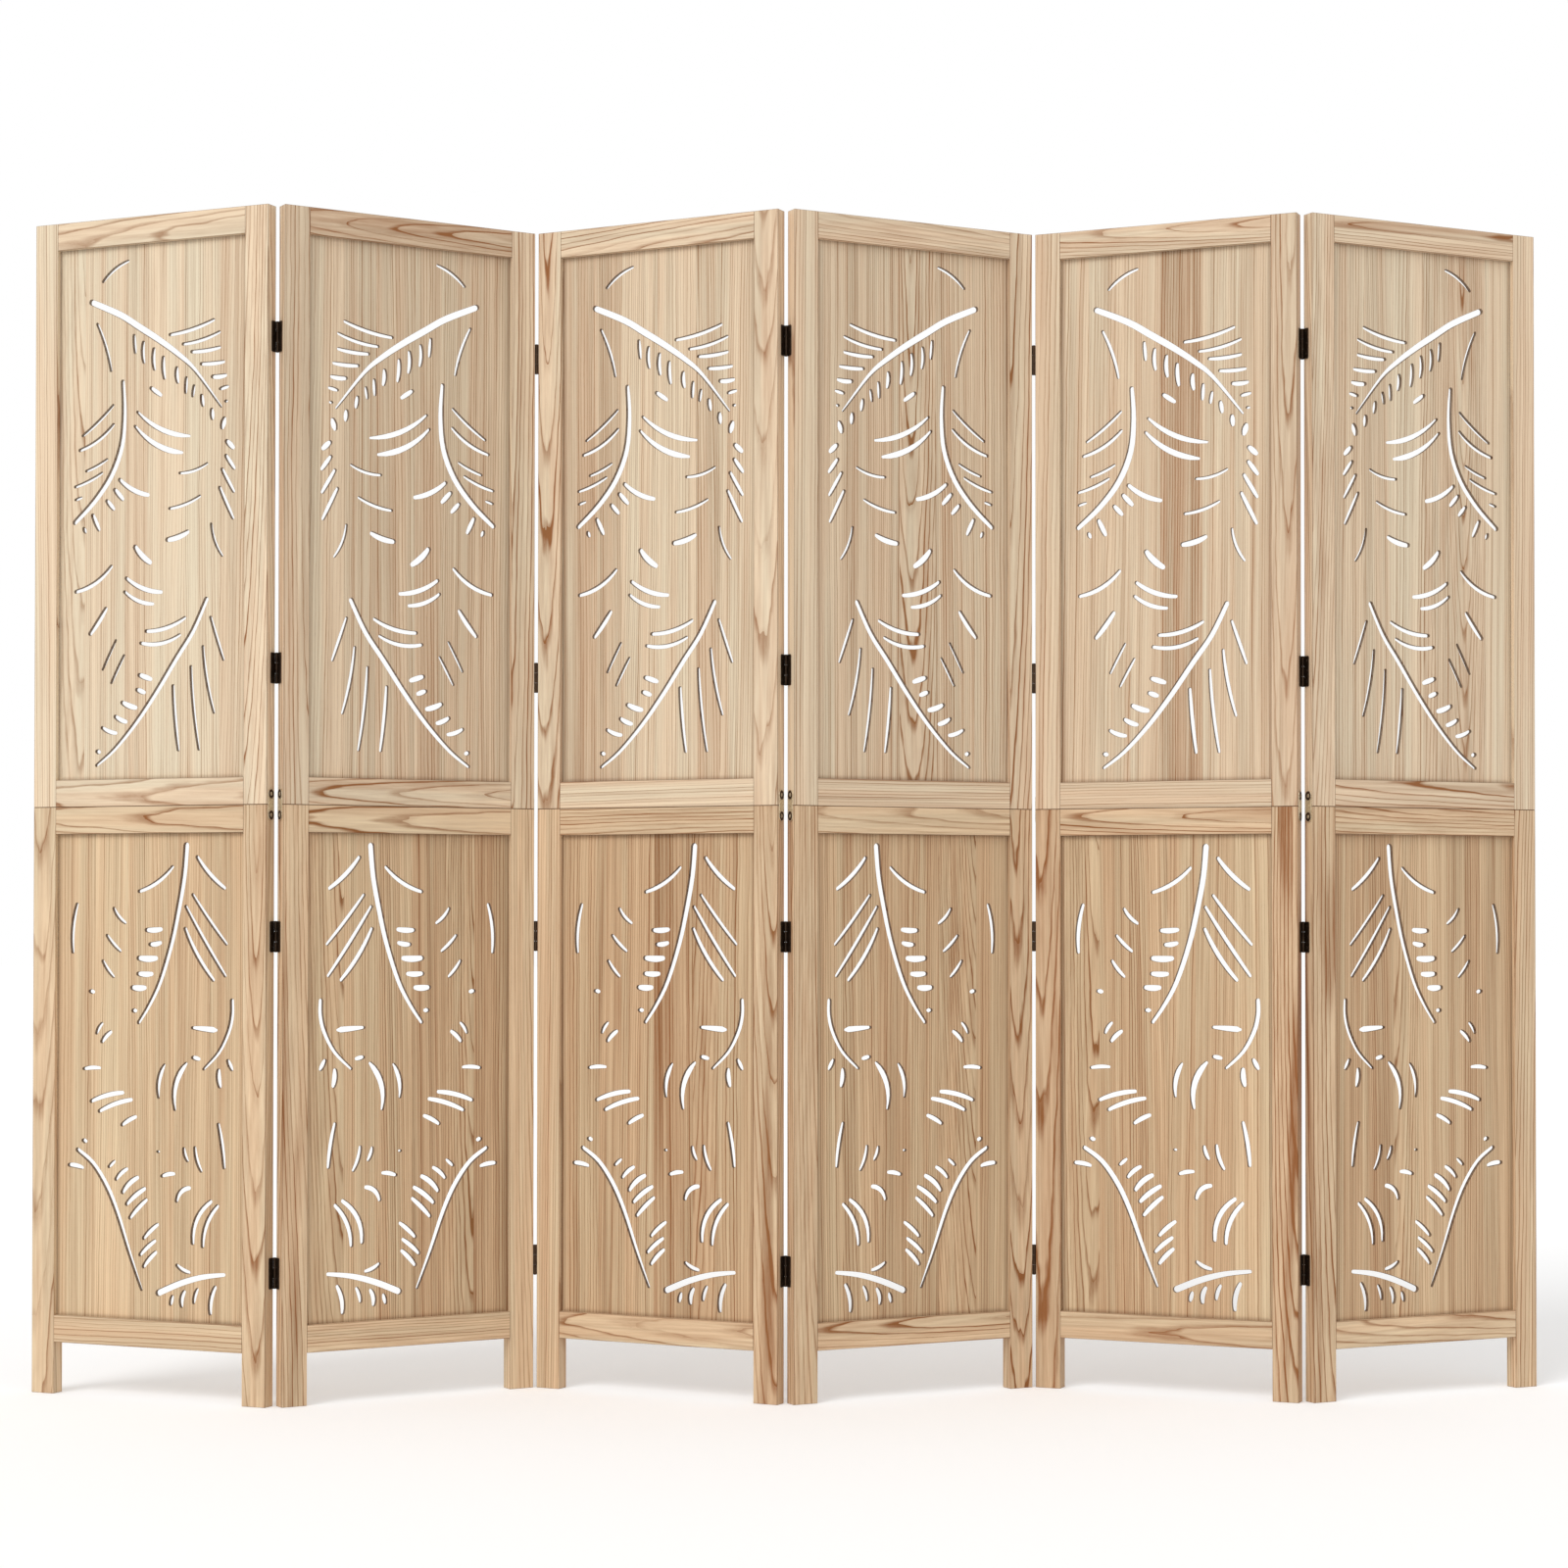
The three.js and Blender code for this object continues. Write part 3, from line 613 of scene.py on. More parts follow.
for (number, section), (tone, _, _) in LOOKS.items():
    for stick, (mesh, grain) in STICKS[section].items():
        name = f"panel_{number}_{section}_{stick}"
        own = mesh.copy()
        cut = stick_cut(name, grain, own, tone)
        mark_wood(own, [cut], [0] * len(own.polygons))
        add_piece(name, own, PLACES[number], f"panel_{number}", f"{section}_frame_wood",
                  WOODS[f"{section}_frame"], f"panel_{number}_{section}_frame")
print("sticks:", 4 * len(LOOKS))

# %% [markdown]
# ## The fern pattern
# The pattern is a handful of fern fronds: long curved midribs with leaves beside them. Every cut
# is a slot with round ends. A midrib is given by points down its middle and by its width at the
# start, in the middle and at the end. A leaf is [from u, from z, to u, to z, bow to the left,
# width]. The long cuts are those of the CAD model, in millimetres on the leftmost panel.

# %% The fern pattern
UPPER_RIBS = [
    ([(92, 1583), (140, 1562), (173, 1542), (207, 1521), (240, 1498), (269, 1473), (313, 1418)],
     (9, 10, 3.5)),
    ([(146, 1464), (148.5, 1420), (144, 1372), (126, 1329), (97, 1293), (64, 1264)], (7, 10.5, 8)),
    ([(289, 1144), (266, 1099), (239, 1062), (205, 1014), (170, 970), (133, 932), (103, 910)], (8, 9, 5)),
]  # the top, middle and bottom frond
UPPER_LEAVES = [
    # beside the top frond
    [112, 1612, 154, 1638, 3.5, 6], [102, 1550, 125.5, 1482, 3, 6],
    # above its midrib
    [227, 1527, 299, 1543, -3, 7], [249, 1512, 309, 1525, -3, 6.5], [264, 1500, 309, 1503, -1.5, 7],
    [280, 1481.5, 316, 1482, -1, 7], [299, 1462, 319, 1462.5, -1, 8],
    [312, 1444, 323, 1446, 0, 6.5], [320, 1425.5, 322, 1425.5, 0, 5],
    # below its midrib
    [165, 1529, 167, 1506, 0, 7], [181, 1518, 182, 1491, -1.5, 7.5], [199, 1507, 200, 1480, -1.5, 8],
    [215, 1494, 217, 1466, -1, 8], [238, 1477, 239.5, 1459, -1, 8.5], [254, 1462, 253, 1443, 0, 7],
    [267, 1450, 265, 1437, 0, 6.5], [280, 1435, 282, 1423, 0, 8],
    # its tail
    [297, 1413.5, 298, 1403.5, 0, 9], [317.5, 1399, 315, 1390, 0, 11], [323, 1367.5, 332, 1359.5, 0, 9.5],
    [321.5, 1347, 334, 1330, 0, 8], [315, 1328, 333.5, 1297, 0, 7.5], [311, 1302, 332.5, 1259, 0, 7.5],
    [297, 1251, 315, 1206, -3.5, 5.5],
    # beside the middle frond
    [195, 1451.5, 210, 1441.5, 0, 8], [244, 1327, 289, 1338, -3.5, 5.5], [227, 1277, 277, 1292, -3, 6],
    [224, 1232.5, 256, 1241.5, -2, 10], [78, 1390, 129, 1430.5, -2, 6], [73, 1369, 129.5, 1402.5, -5, 7],
    [84, 1338, 119, 1353, -1.5, 5.5], [65, 1316, 110, 1333.5, -2, 6], [65.5, 1297, 75, 1299.5, 0, 5],
    [142, 1322, 189, 1298.5, -4, 8.5], [133.5, 1307.5, 145.5, 1295, 0, 9], [120, 1292, 130, 1281.5, 0, 8.5],
    [95.5, 1272, 105, 1253, 0, 9], [80, 1254, 82, 1250, 0, 7],
    # the long leaves on its right
    [173, 1418, 258, 1380, -8.5, 8.5, 0.6], [169, 1397.5, 245.5, 1357, -8.5, 9.5, 0.7],
    # loose leaves
    [169, 1223, 192.5, 1201.5, -2, 11], [67, 1163.5, 126.5, 1197, -6.5, 8], [154, 1179, 212, 1157.5, -5, 8],
    [151, 1159.5, 198, 1141, -4.5, 7], [92, 1102, 117.5, 1135.5, -1, 9.5], [113.5, 1049, 135.5, 1090, 0, 5],
    [128.5, 1029.5, 149.5, 1067.5, 0, 5.5], [188, 1102, 252, 1118.5, -5, 7.5],
    [179, 1085, 243.5, 1094.5, -6.5, 7],
    # left of the bottom midrib
    [177, 1038.5, 194.5, 1033, 0, 9], [173, 1017.5, 183.5, 1014, 0, 8.5], [148, 999.5, 169, 992.5, -1, 9.5],
    [136, 979.5, 152.5, 972.5, -1, 8.5], [113.5, 964, 135.5, 956.5, -1.5, 7.5],
    [104.5, 930, 107, 929.5, 0, 8],
    # right of it
    [296.5, 1117.5, 317.5, 1058, 0, 6.5], [283.5, 1076, 302, 983, -2.5, 6.5],
    [263.5, 1048, 277, 931, -2, 6.5], [233.5, 1021, 242.5, 931, -1, 7.5],
]
LOWER_RIBS = [
    ([(257, 793), (253, 750), (244, 703), (232, 653), (213, 598), (194, 563), (177, 539)], (10, 9, 6)),
    ([(334, 572), (334, 551), (328, 527), (312, 498), (287, 474)], (7, 7.5, 4.5)),
    ([(73, 353.5), (99, 335), (123, 303), (142, 264), (163, 207), (183.5, 156)], (7, 9, 4.5)),
    ([(212, 152.5), (248, 167.5), (285, 178), (322, 183)], (10, 9, 6)),
]
LOWER_LEAVES = [
    # beside the top frond
    [178, 728, 233, 762, -5, 7.5], [276, 775.5, 320, 732.5, -3, 8.5], [268.5, 722, 324, 653, -1, 7],
    [257, 705, 322, 608, -1, 7.5], [256, 673, 302, 602, -3.5, 8.5],
    # left of its midrib
    [191, 672, 213.5, 673, -0.7, 9], [197, 651.5, 212.5, 653.5, -0.7, 8.5],
    [178, 631.5, 205, 631.5, -1, 10.5], [177, 609, 198, 609, -0.7, 9],
    [167, 589, 186, 589, -0.7, 10], [168, 556, 171.5, 556, 0, 7.5],
    # the frond on the left
    [70.5, 708, 63.5, 641, -3.5, 8], [134.5, 702.5, 153, 683, -2, 7], [123, 663.5, 144.5, 642.5, -1, 7],
    [116, 626.5, 133, 605.5, -1, 7], [94.5, 583, 99, 582.5, 0, 7.5], [105.5, 523.5, 114, 536, 1, 7],
    [115, 511.5, 128.5, 524, 1, 8.5], [84, 471, 110, 472.5, 1, 6.5],
    # in the middle
    [97, 424.5, 149.5, 437.5, 2.5, 8], [111, 410.5, 164, 427.5, 2.5, 8], [150, 392, 171.5, 403, 1, 8],
    [220.5, 477, 211.5, 434, -4.5, 9, 0.35], [257, 479, 239.5, 418, -9, 11, 0.3],
    # on the right
    [270, 532.5, 306, 530, 0, 9.5, 0.92], [269.5, 490, 278.5, 488.5, 0, 7.5],
    [328, 485.5, 333.5, 475.5, 0, 8.5], [312, 471, 314, 451.5, -1, 10], [312, 395, 321.5, 336, 1.5, 8],
    # right of the left midrib
    [83.5, 367, 86.5, 366.5, 0, 8], [59.5, 331, 80.5, 328, 1, 8], [127.5, 331, 136, 338, 0, 6.5],
    [140, 313.5, 157, 327.5, 1.5, 8], [151.5, 295.5, 175, 315.5, 2.5, 9.5], [158.5, 278.5, 187, 300, 1.5, 9],
    [164, 259, 190, 284, 1, 8.5], [187.5, 230.5, 209.5, 249.5, 1, 8], [181.5, 206.5, 205, 226, 1, 8],
    [187.5, 190, 206.5, 209.5, 1, 8.5],
    # loose leaves
    [210, 354.5, 212, 354.5, 0, 4.5], [218, 320, 237, 323.5, 1, 7], [243, 286, 263, 303.5, 5, 8.5],
    [254.5, 359, 260, 344, -1, 7.5], [273, 361, 283, 330, -2, 7.5],
    [299, 285, 270, 227, -9.5, 9], [310.5, 279, 286.5, 223, -6.5, 8.5],
    # about the bottom midrib
    [244, 193, 263, 184.5, -1.5, 7.5], [235.5, 147.5, 233, 138.5, 0, 8], [255.5, 155, 251.5, 137, -2, 9],
    [277.5, 159.5, 272, 142.5, -1, 7.5], [307, 163.5, 299.5, 128.5, -3, 9],
]

# %% [markdown]
# A slot's outline is worked out from its middle line: points on both sides at half its width, and
# a half circle round each end. A leaf's middle line is a simple arc, and it is a knife's stroke:
# full in the middle and slim at both ends. A seventh number moves its fullest place from halfway,
# 0.5, towards one end. A midrib's middle line is a smooth curve through its points, worked out by
# cubic steps that need no handles. The drawn widths take in the dark edges of the cuts.

# %% Outlines of the slots
CAP_STEPS = 5
LEAF_STEPS = 8
DARK_RIM = 0.3  # millimetres of dark edge on each side of a midrib
CLEAR_SHARE = 0.89  # how much of a leaf's drawn width is open


def slot_outline(middle_line, widths):
    """The closed outline of a slot, anticlockwise: middle_line holds (point, direction)."""
    near, far = [], []
    for (point, direction), width in zip(middle_line, widths):
        side = Vector((-direction.y, direction.x)) * (width / 2)
        near.append(point + side)
        far.append(point - side)
    def cap(point, direction, width):
        start = math.atan2(-direction.x, direction.y)
        steps = (start + math.pi * step / CAP_STEPS for step in range(1, CAP_STEPS))
        return [point + Vector((math.cos(angle), math.sin(angle))) * (width / 2) for angle in steps]
    (first, first_way), (last, last_way) = middle_line[0], middle_line[-1]
    return far + cap(last, last_way, widths[-1]) + near[::-1] + cap(first, -first_way, widths[0])


def leaf_outline(u0, z0, u1, z1, bow, drawn_width, fullest=0.5):
    start, end = Vector((u0, z0)), Vector((u1, z1))
    width = drawn_width * CLEAR_SHARE
    along = (end - start).normalized()
    tip = 0.75 if fullest == 0.5 else 0.5  # the ends' share of the full width
    start -= along * (1 - tip) * width / 2
    end += along * (1 - tip) * width / 2
    top = (start + end) / 2 + Vector((-along.y, along.x)) * 2 * bow
    line, widths = [], []
    for step in range(LEAF_STEPS + 1):
        t = step / LEAF_STEPS
        point = start * (1 - t) ** 2 + top * 2 * t * (1 - t) + end * t**2
        line.append((point, ((top - start) * (1 - t) + (end - top) * t).normalized()))
        way_out = (fullest - t) / fullest if t < fullest else (t - fullest) / (1 - fullest)
        widths.append(width * (1 - (1 - tip) * way_out**2.2))
    return slot_outline(line, widths)


def rib_outline(path, width):
    points = [Vector(point) for point in path]
    last = len(points) - 1
    line, widths = [], []
    for step in range(4 * last + 1):
        share = step / (4 * last)
        index = min(int(share * last), last - 1)
        t = share * last - index
        before, a, b, after = (points[max(0, min(last, index + k))] for k in (-1, 0, 1, 2))
        v0, v1 = (b - before) / 2, (after - a) / 2
        cubic, square = 2 * a - 2 * b + v0 + v1, 3 * b - 3 * a - 2 * v0 - v1
        point = ((cubic * t + square) * t + v0) * t + a
        line.append((point, (cubic * 3 * t**2 + square * 2 * t + v0).normalized()))
        start, middle, end = width
        drawn = (start * (1 - share) * (1 - 2 * share) + middle * 4 * share * (1 - share)
                 + end * share * (2 * share - 1))
        widths.append(drawn - 2 * DARK_RIM)
    return slot_outline(line, widths)


def fern_outlines(ribs, leaves):
    """All slots of a board, in metres from the middle of its panel's width and from the floor."""
    outlines = [rib_outline(*rib) for rib in ribs] + [leaf_outline(*leaf) for leaf in leaves]
    return [[(point.x / 1000 - WIDTH / 2, point.y / 1000) for point in outline] for outline in outlines]


FERNS = {"upper": fern_outlines(UPPER_RIBS, UPPER_LEAVES), "lower": fern_outlines(LOWER_RIBS, LOWER_LEAVES)}
print("slots:", {section: len(outlines) for section, outlines in FERNS.items()})

# %% [markdown]
# ## Pierced sheets
# A pierced board, a hinge leaf and a zinc plate are all a flat sheet with holes. One Geometry
# Nodes tree makes them from their outlines. Fill Curve makes the two faces, from outlines that
# are moved a hair's breadth into the material. Curve to Mesh then sweeps three strips along each
# outline: a small chamfer, the wall, and a chamfer again. So every edge catches the light, which
# a Boolean with sixty cutters would not give, and would take far longer.
# The rim of the sheet runs clockwise and the holes anticlockwise, so that "into the material" is
# always on the right of the outline's direction.

# %% Pierced sheets
def joined(tree, shapes):
    join = tree.nodes.new("GeometryNodeJoinGeometry")
    for shape in shapes:
        tree.links.new(shape, join.inputs[0])
    return join.outputs[0]


def end_shape_tree(tree, result, shape, material):
    real = add_node(tree, "GeometryNodeRealizeInstances", {"Geometry": shape}).outputs[0]
    feeds = {"Geometry": real, "Material": material}
    feed(tree, result["Geometry"], add_node(tree, "GeometryNodeSetMaterial", feeds).outputs[0])


def pierced_sheet_tree():
    inputs = {"Geometry": "shape", "Outlines": "object", "Thickness": "number", "Chamfer": "number"}
    inputs["Material"] = "material"
    tree, given, result = new_tree("pierced_sheet", "GeometryNodeTree", inputs, {"Geometry": "shape"})
    outlines = add_node(tree, "GeometryNodeObjectInfo", {"Object": given["Outlines"]}).outputs["Geometry"]
    outlines = add_node(tree, "GeometryNodeSetCurveNormal", {"Curve": outlines}, mode="Z_UP").outputs[0]
    tangent = add_node(tree, "GeometryNodeInputTangent").outputs[0]
    inwards = vector_maths(tree, "CROSS_PRODUCT", tangent, (0, 0, 1))
    chamfer = given["Chamfer"]
    offset = vector_maths(tree, "MULTIPLY", inwards, combined(tree, chamfer, chamfer))
    moved = add_node(tree, "GeometryNodeSetPosition", {"Geometry": outlines, "Offset": offset}).outputs[0]
    face = add_node(tree, "GeometryNodeFillCurve", {"Curve": moved}).outputs[0]
    turned = add_node(tree, "GeometryNodeFlipFaces", {"Mesh": face}).outputs[0]
    half = maths(tree, "DIVIDE", given["Thickness"], 2.0)
    minus_half = maths(tree, "MULTIPLY", half, -1.0)
    wall_end = maths(tree, "SUBTRACT", half, chamfer)
    minus_wall_end = maths(tree, "MULTIPLY", wall_end, -1.0)
    corners = [(chamfer, half), (0.0, wall_end), (0.0, minus_wall_end), (chamfer, minus_half)]
    strips = []
    for start, end in zip(corners, corners[1:]):
        feeds = {"Start": combined(tree, *start), "End": combined(tree, *end)}
        strip = add_node(tree, "GeometryNodeCurvePrimitiveLine", feeds).outputs[0]
        feeds = {"Curve": outlines, "Profile Curve": strip}
        strips.append(add_node(tree, "GeometryNodeCurveToMesh", feeds).outputs[0])
    feeds = {"Geometry": joined(tree, strips), "Name": "cut_wall", "Value": 1.0}
    marked = add_node(tree, "GeometryNodeStoreNamedAttribute", feeds, data_type="FLOAT", domain="FACE")
    faces = []
    for shape, height in ((face, half), (turned, minus_half)):
        feeds = {"Geometry": shape, "Translation": combined(tree, z=height)}
        faces.append(add_node(tree, "GeometryNodeTransform", feeds).outputs[0])
    feeds = {"Geometry": joined(tree, [*faces, marked.outputs[0]]), "Distance": 1e-5}
    welded = add_node(tree, "GeometryNodeMergeByDistance", feeds).outputs[0]
    end_shape_tree(tree, result, welded, given["Material"])
    return tree


def grow(tree, inputs, host_mesh=None):
    """Run a Geometry Nodes tree with its named inputs, and keep the plain mesh that it makes."""
    host = helper(tree.name, host_mesh or bpy.data.meshes.new(tree.name))
    modifier = host.modifiers.new(tree.name, "NODES")
    modifier.node_group = tree
    for item in tree.interface.items_tree:
        if item.item_type == "SOCKET" and item.in_out == "INPUT" and item.name in inputs:
            modifier[item.identifier] = inputs[item.name]
    return plain_mesh(host)


def outline_curves(outlines):
    """Closed outlines as the straight-line splines of one curve object."""
    curve = bpy.data.curves.new("outlines", "CURVE")
    curve.dimensions = "3D"
    for outline in outlines:
        spline = curve.splines.new("POLY")
        spline.points.add(len(outline) - 1)
        spline.points.foreach_set("co", [value for x, y in outline for value in (x, y, 0, 1)])
        spline.use_cyclic_u = True
    return helper("outlines", curve)


def smoothed(mesh):
    """Round stretches shaded smooth, and edges sharper than 35 degrees kept sharp."""
    mesh.shade_smooth()
    mesh.set_sharp_from_angle(angle=math.radians(35))
    return mesh


PIERCED_SHEET = pierced_sheet_tree()


def pierced_sheet(rim, holes, thickness, chamfer, material):
    """A sheet in the xy plane, its middle at z = 0. Both the rim and the holes run anticlockwise."""
    curves = outline_curves([rim[::-1], *holes])
    inputs = {"Outlines": curves, "Thickness": thickness, "Chamfer": chamfer, "Material": material}
    mesh = grow(PIERCED_SHEET, inputs)
    bpy.data.objects.remove(curves)
    return smoothed(mesh)


def check_closed(mesh, what):
    """Print a mesh's volume, which is only right where it is closed and faces outwards."""
    form = bmesh.new()
    form.from_mesh(mesh)
    loose = sum(not edge.is_manifold for edge in form.edges)
    volume = form.calc_volume(signed=True) * 1e6
    print(what, "faces", len(mesh.polygons), "open edges", loose, "cm3", round(volume, 3))
    form.free()


def board_rim(section):
    sill, head = section_opening(section)
    half = WIDTH / 2 - STILE + GROOVE - SEAT_GAP
    low, high = sill - GROOVE + SEAT_GAP, head + GROOVE - SEAT_GAP
    return [(-half, low), (half, low), (half, high), (-half, high)]


BOARDS = {}
for section in HEIGHTS:
    wood = WOODS[f"{section}_board"]
    BOARDS[section] = pierced_sheet(board_rim(section), FERNS[section], BOARD, 0.0003, wood)
    check_closed(BOARDS[section], f"{section} board:")

# %% [markdown]
# ## Boards of glued planks
# A board is glued up from five or six planks, 40 to 90 mm wide, of different tones, and most of
# them show straight lines. The sheet is copied for each panel and split along the glue lines, so
# that no face lies in two planks, and each plank is then sawn from its own log. The boards of
# every other panel are turned half round, so that their pattern looks the other way.

# %% Boards of glued planks
def board_place(turned):
    """From the sheet's x, y, z to a panel's u, v, z, the sheet's +z looking to the front."""
    stand = Matrix(((1, 0, 0), (0, 0, -1), (0, 1, 0))).to_4x4()
    half_turn = Matrix.Rotation(math.pi, 4, "Y") if turned else Matrix.Identity(4)
    return Matrix.Translation((WIDTH / 2, THICKNESS / 2, 0)) @ stand @ half_turn


def split_at(mesh, borders):
    form = bmesh.new()
    form.from_mesh(mesh)
    for u in borders:
        everything = form.verts[:] + form.edges[:] + form.faces[:]
        bmesh.ops.bisect_plane(form, geom=everything, plane_co=(u, 0, 0), plane_no=(1, 0, 0), dist=1e-6)
    form.to_mesh(mesh)
    form.free()


PLANK_KINDS = {  # how much browner than the board, and how much heartwood runs through
    "p": (-0.11, 0.15),
    "m": (0.0, 0.3),
    "b": (0.13, 0.5),
    "s": (0.04, 1.0),
    "f": (0.03, 0.3),
}
FLAT_PLANKS = 0.15  # the share of the other planks that show arches too
HALF_PLANK = 0.03


def glue_lines(random_source, count):
    """Where one plank ends and the next begins, roughly evenly spread."""
    start, pitch = STILE, (WIDTH - 2 * STILE) / count
    return [start + pitch * (index + random_source.uniform(-0.2, 0.2)) for index in range(1, count)]


def plank_cut(random_source, u, section, tone, kind):
    middle = (u, THICKNESS / 2, sum(HEIGHTS[section]) / 2)
    flat = kind == "f" or random_source.random() < FLAT_PLANKS
    matrix = sawn(random_source, U, V, Z, middle, flat)
    browner, heartwood = PLANK_KINDS[kind]
    tone += browner + random_source.uniform(-0.03, 0.03)
    return matrix, (tone, random_source.uniform(0.7, 1.3), heartwood)


for (number, section), (_, tone, planks) in LOOKS.items():
    name = f"panel_{number}_{section}_pierced_board"
    chance = random.Random(name)
    own = BOARDS[section].copy()
    own.transform(board_place(turned=number % 2 == 0))
    lines = glue_lines(chance, len(planks))
    split_at(own, lines)
    middles = [u - HALF_PLANK for u in lines] + [lines[-1] + HALF_PLANK]
    cuts = [plank_cut(chance, u, section, tone, kind) for u, kind in zip(middles, planks)]
    plank_of = [sum(face.center.x > u for u in lines) for face in own.polygons]
    mark_wood(own, cuts, plank_of)
    add_piece(name, own, PLACES[number], f"panel_{number}", f"{section}_board_wood",
              WOODS[f"{section}_board"], f"panel_{number}_{section}_board")
    print(name, len(cuts), "planks", len(own.polygons), "faces")

# %% [markdown]
# ## Hinges
# A butt hinge is two leaves and a pin. Each leaf is a steel sheet with three screw holes, and its
# fingers are curled round the pin. Here the leaf on a panel's right edge has the middle knuckle,
# and the one on the next panel's left edge has the outer two, and holds the pin. Knuckles lie
# behind the wood where the fold comes forward, and in front of it at the other folds.
# A leaf is drawn lying down: x from the face on the knuckles' side into the wood, y up, and z
# out of the edge. The sheet is a pierced sheet, and the curl is its cross-section pulled up.

# %% Hinges: sizes and outlines
FOLD_GAP = 0.0043  # between two panels' edges when they lie in line
AXIS_OUT = 0.0009  # from the wood's face out to the hinge's axis
HINGE_HEIGHT = 0.044
LEAF = 0.0012  # thickness
LEAF_WIDTH = 0.0105
KNUCKLES = 3
KNUCKLE_RADIUS = 0.0020
KNUCKLE_GAP = 0.0004
PIN_RADIUS = 0.0010
SWING_CLEARANCE = 0.00035
HOLE_RADIUS = 0.0019
LEAF_HOLES = [(0.0050, -0.0150), (0.0068, 0.0), (0.0050, 0.0150)]  # from the leaf's near edge


def arc(centre, radius, start, end, steps):
    """Points on a circle between two angles in degrees."""
    angles = (math.radians(start + (end - start) * step / steps) for step in range(steps + 1))
    return [(centre[0] + radius * math.cos(a), centre[1] + radius * math.sin(a)) for a in angles]


def circle(centre, radius, steps=16):
    return arc(centre, radius, 0, 360, steps)[:-1]


def knuckle_spans(own):
    pitch = (HINGE_HEIGHT + KNUCKLE_GAP) / KNUCKLES
    lows = [knuckle * pitch - HINGE_HEIGHT / 2 for knuckle in own]
    return [(low, low + pitch - KNUCKLE_GAP) for low in lows]


def leaf_near_edge(seat):
    """Where the sheet starts: far enough in for the other leaf's knuckles to swing past."""
    swing = KNUCKLE_RADIUS + SWING_CLEARANCE
    return math.sqrt(swing**2 - (FOLD_GAP / 2 - seat - LEAF) ** 2) - AXIS_OUT


def leaf_rim(seat, own):
    near, half, corner = leaf_near_edge(seat), HINGE_HEIGHT / 2, 0.0022
    far = near + LEAF_WIDTH
    points = [(near, -half)]
    points += arc((far - corner, -half + corner), corner, -90, 0, 5)
    points += arc((far - corner, half - corner), corner, 0, 90, 5)
    points.append((near, half))
    for low, high in reversed(knuckle_spans(own)):
        points += [(near, high), (-AXIS_OUT, high), (-AXIS_OUT, low), (near, low)]
    return [point for point, last in zip(points, points[-1:] + points[:-1]) if math.dist(point, last) > 1e-6]


# %% Hinges: the leaves
def pulled_up(section_points, low, high):
    """A prism from a closed cross-section in x and z, standing from y = low to y = high."""
    form = bmesh.new()
    ends = [[form.verts.new((x, y, z)) for x, z in section_points] for y in (low, high)]
    form.faces.new(ends[0])
    form.faces.new(ends[1][::-1])
    for index in range(len(section_points)):
        after = (index + 1) % len(section_points)
        form.faces.new((ends[0][index], ends[1][index], ends[1][after], ends[0][after]))
    return finished(form, "prism")


def together(meshes):
    form = bmesh.new()
    for mesh in meshes:
        form.from_mesh(mesh)
    return smoothed(finished(form, "together"))


def curl_section(seat):
    """The curled end of a finger: round the pin from the wood's side, almost back to the sheet."""
    axis = (-AXIS_OUT, FOLD_GAP / 2 - seat - LEAF / 2)
    outside = arc(axis, KNUCKLE_RADIUS, -90, -378, 20)
    inside = arc(axis, PIN_RADIUS + 0.0001, -378, -90, 14)
    root = -AXIS_OUT + 0.0008
    return [(root, axis[1] - KNUCKLE_RADIUS), *outside, *inside, (root, axis[1] - PIN_RADIUS)]


def pin(seat):
    axis, half = (-AXIS_OUT, FOLD_GAP / 2 - seat - LEAF / 2), HINGE_HEIGHT / 2
    shaft, tip = circle(axis, PIN_RADIUS, 12), circle(axis, PIN_RADIUS * 0.7, 12)
    end = half + 0.0003
    return [pulled_up(shaft, -half, half), pulled_up(tip, half, end), pulled_up(tip, -end, -half)]


def hinge_leaf(seat, own, with_pin):
    near = leaf_near_edge(seat)
    holes = [circle((near + x, y), HOLE_RADIUS) for x, y in LEAF_HOLES]
    parts = [pierced_sheet(leaf_rim(seat, own), holes, LEAF, 0.00018, BLACK_STEEL)]
    parts += [pulled_up(curl_section(seat), low, high) for low, high in knuckle_spans(own)]
    return together(parts + (pin(seat) if with_pin else []))


LEAVES = {"screwed": hinge_leaf(0, [1], False), "pinned": hinge_leaf(SEAT_GAP, [0, 2], True)}
for kind, mesh in LEAVES.items():
    check_closed(mesh, f"{kind} leaf:")

# %% [markdown]
# ## Things that repeat
# Four hinges sit on every edge where two panels meet, with three screws in each leaf, and every
# seam plate has two screws and two washers. Instance on Points sets one piece on the points of a
# host mesh, and turns each by a random amount about its own axis, so that no two screws stand
# alike. The seed is fixed.

# %% Things that repeat
def repeated_tree():
    inputs = {"Geometry": "shape", "Piece": "object", "Turn": "number", "Seed": "whole number"}
    inputs["Material"] = "material"
    tree, given, result = new_tree("repeated", "GeometryNodeTree", inputs, {"Geometry": "shape"})
    feeds = {"Object": given["Piece"], "As Instance": True}
    piece = add_node(tree, "GeometryNodeObjectInfo", feeds).outputs["Geometry"]
    chance = add_node(tree, "FunctionNodeRandomValue", {"Seed": given["Seed"]}, data_type="FLOAT")
    highest = next(socket for socket in chance.inputs if socket.name == "Max" and socket.type == "VALUE")
    feed(tree, highest, given["Turn"])
    turn = combined(tree, z=next(socket for socket in chance.outputs if socket.type == "VALUE"))
    feeds = {"Points": given["Geometry"], "Instance": piece, "Rotation": turn}
    placed = add_node(tree, "GeometryNodeInstanceOnPoints", feeds).outputs[0]
    end_shape_tree(tree, result, placed, given["Material"])
    return tree


REPEATED = repeated_tree()


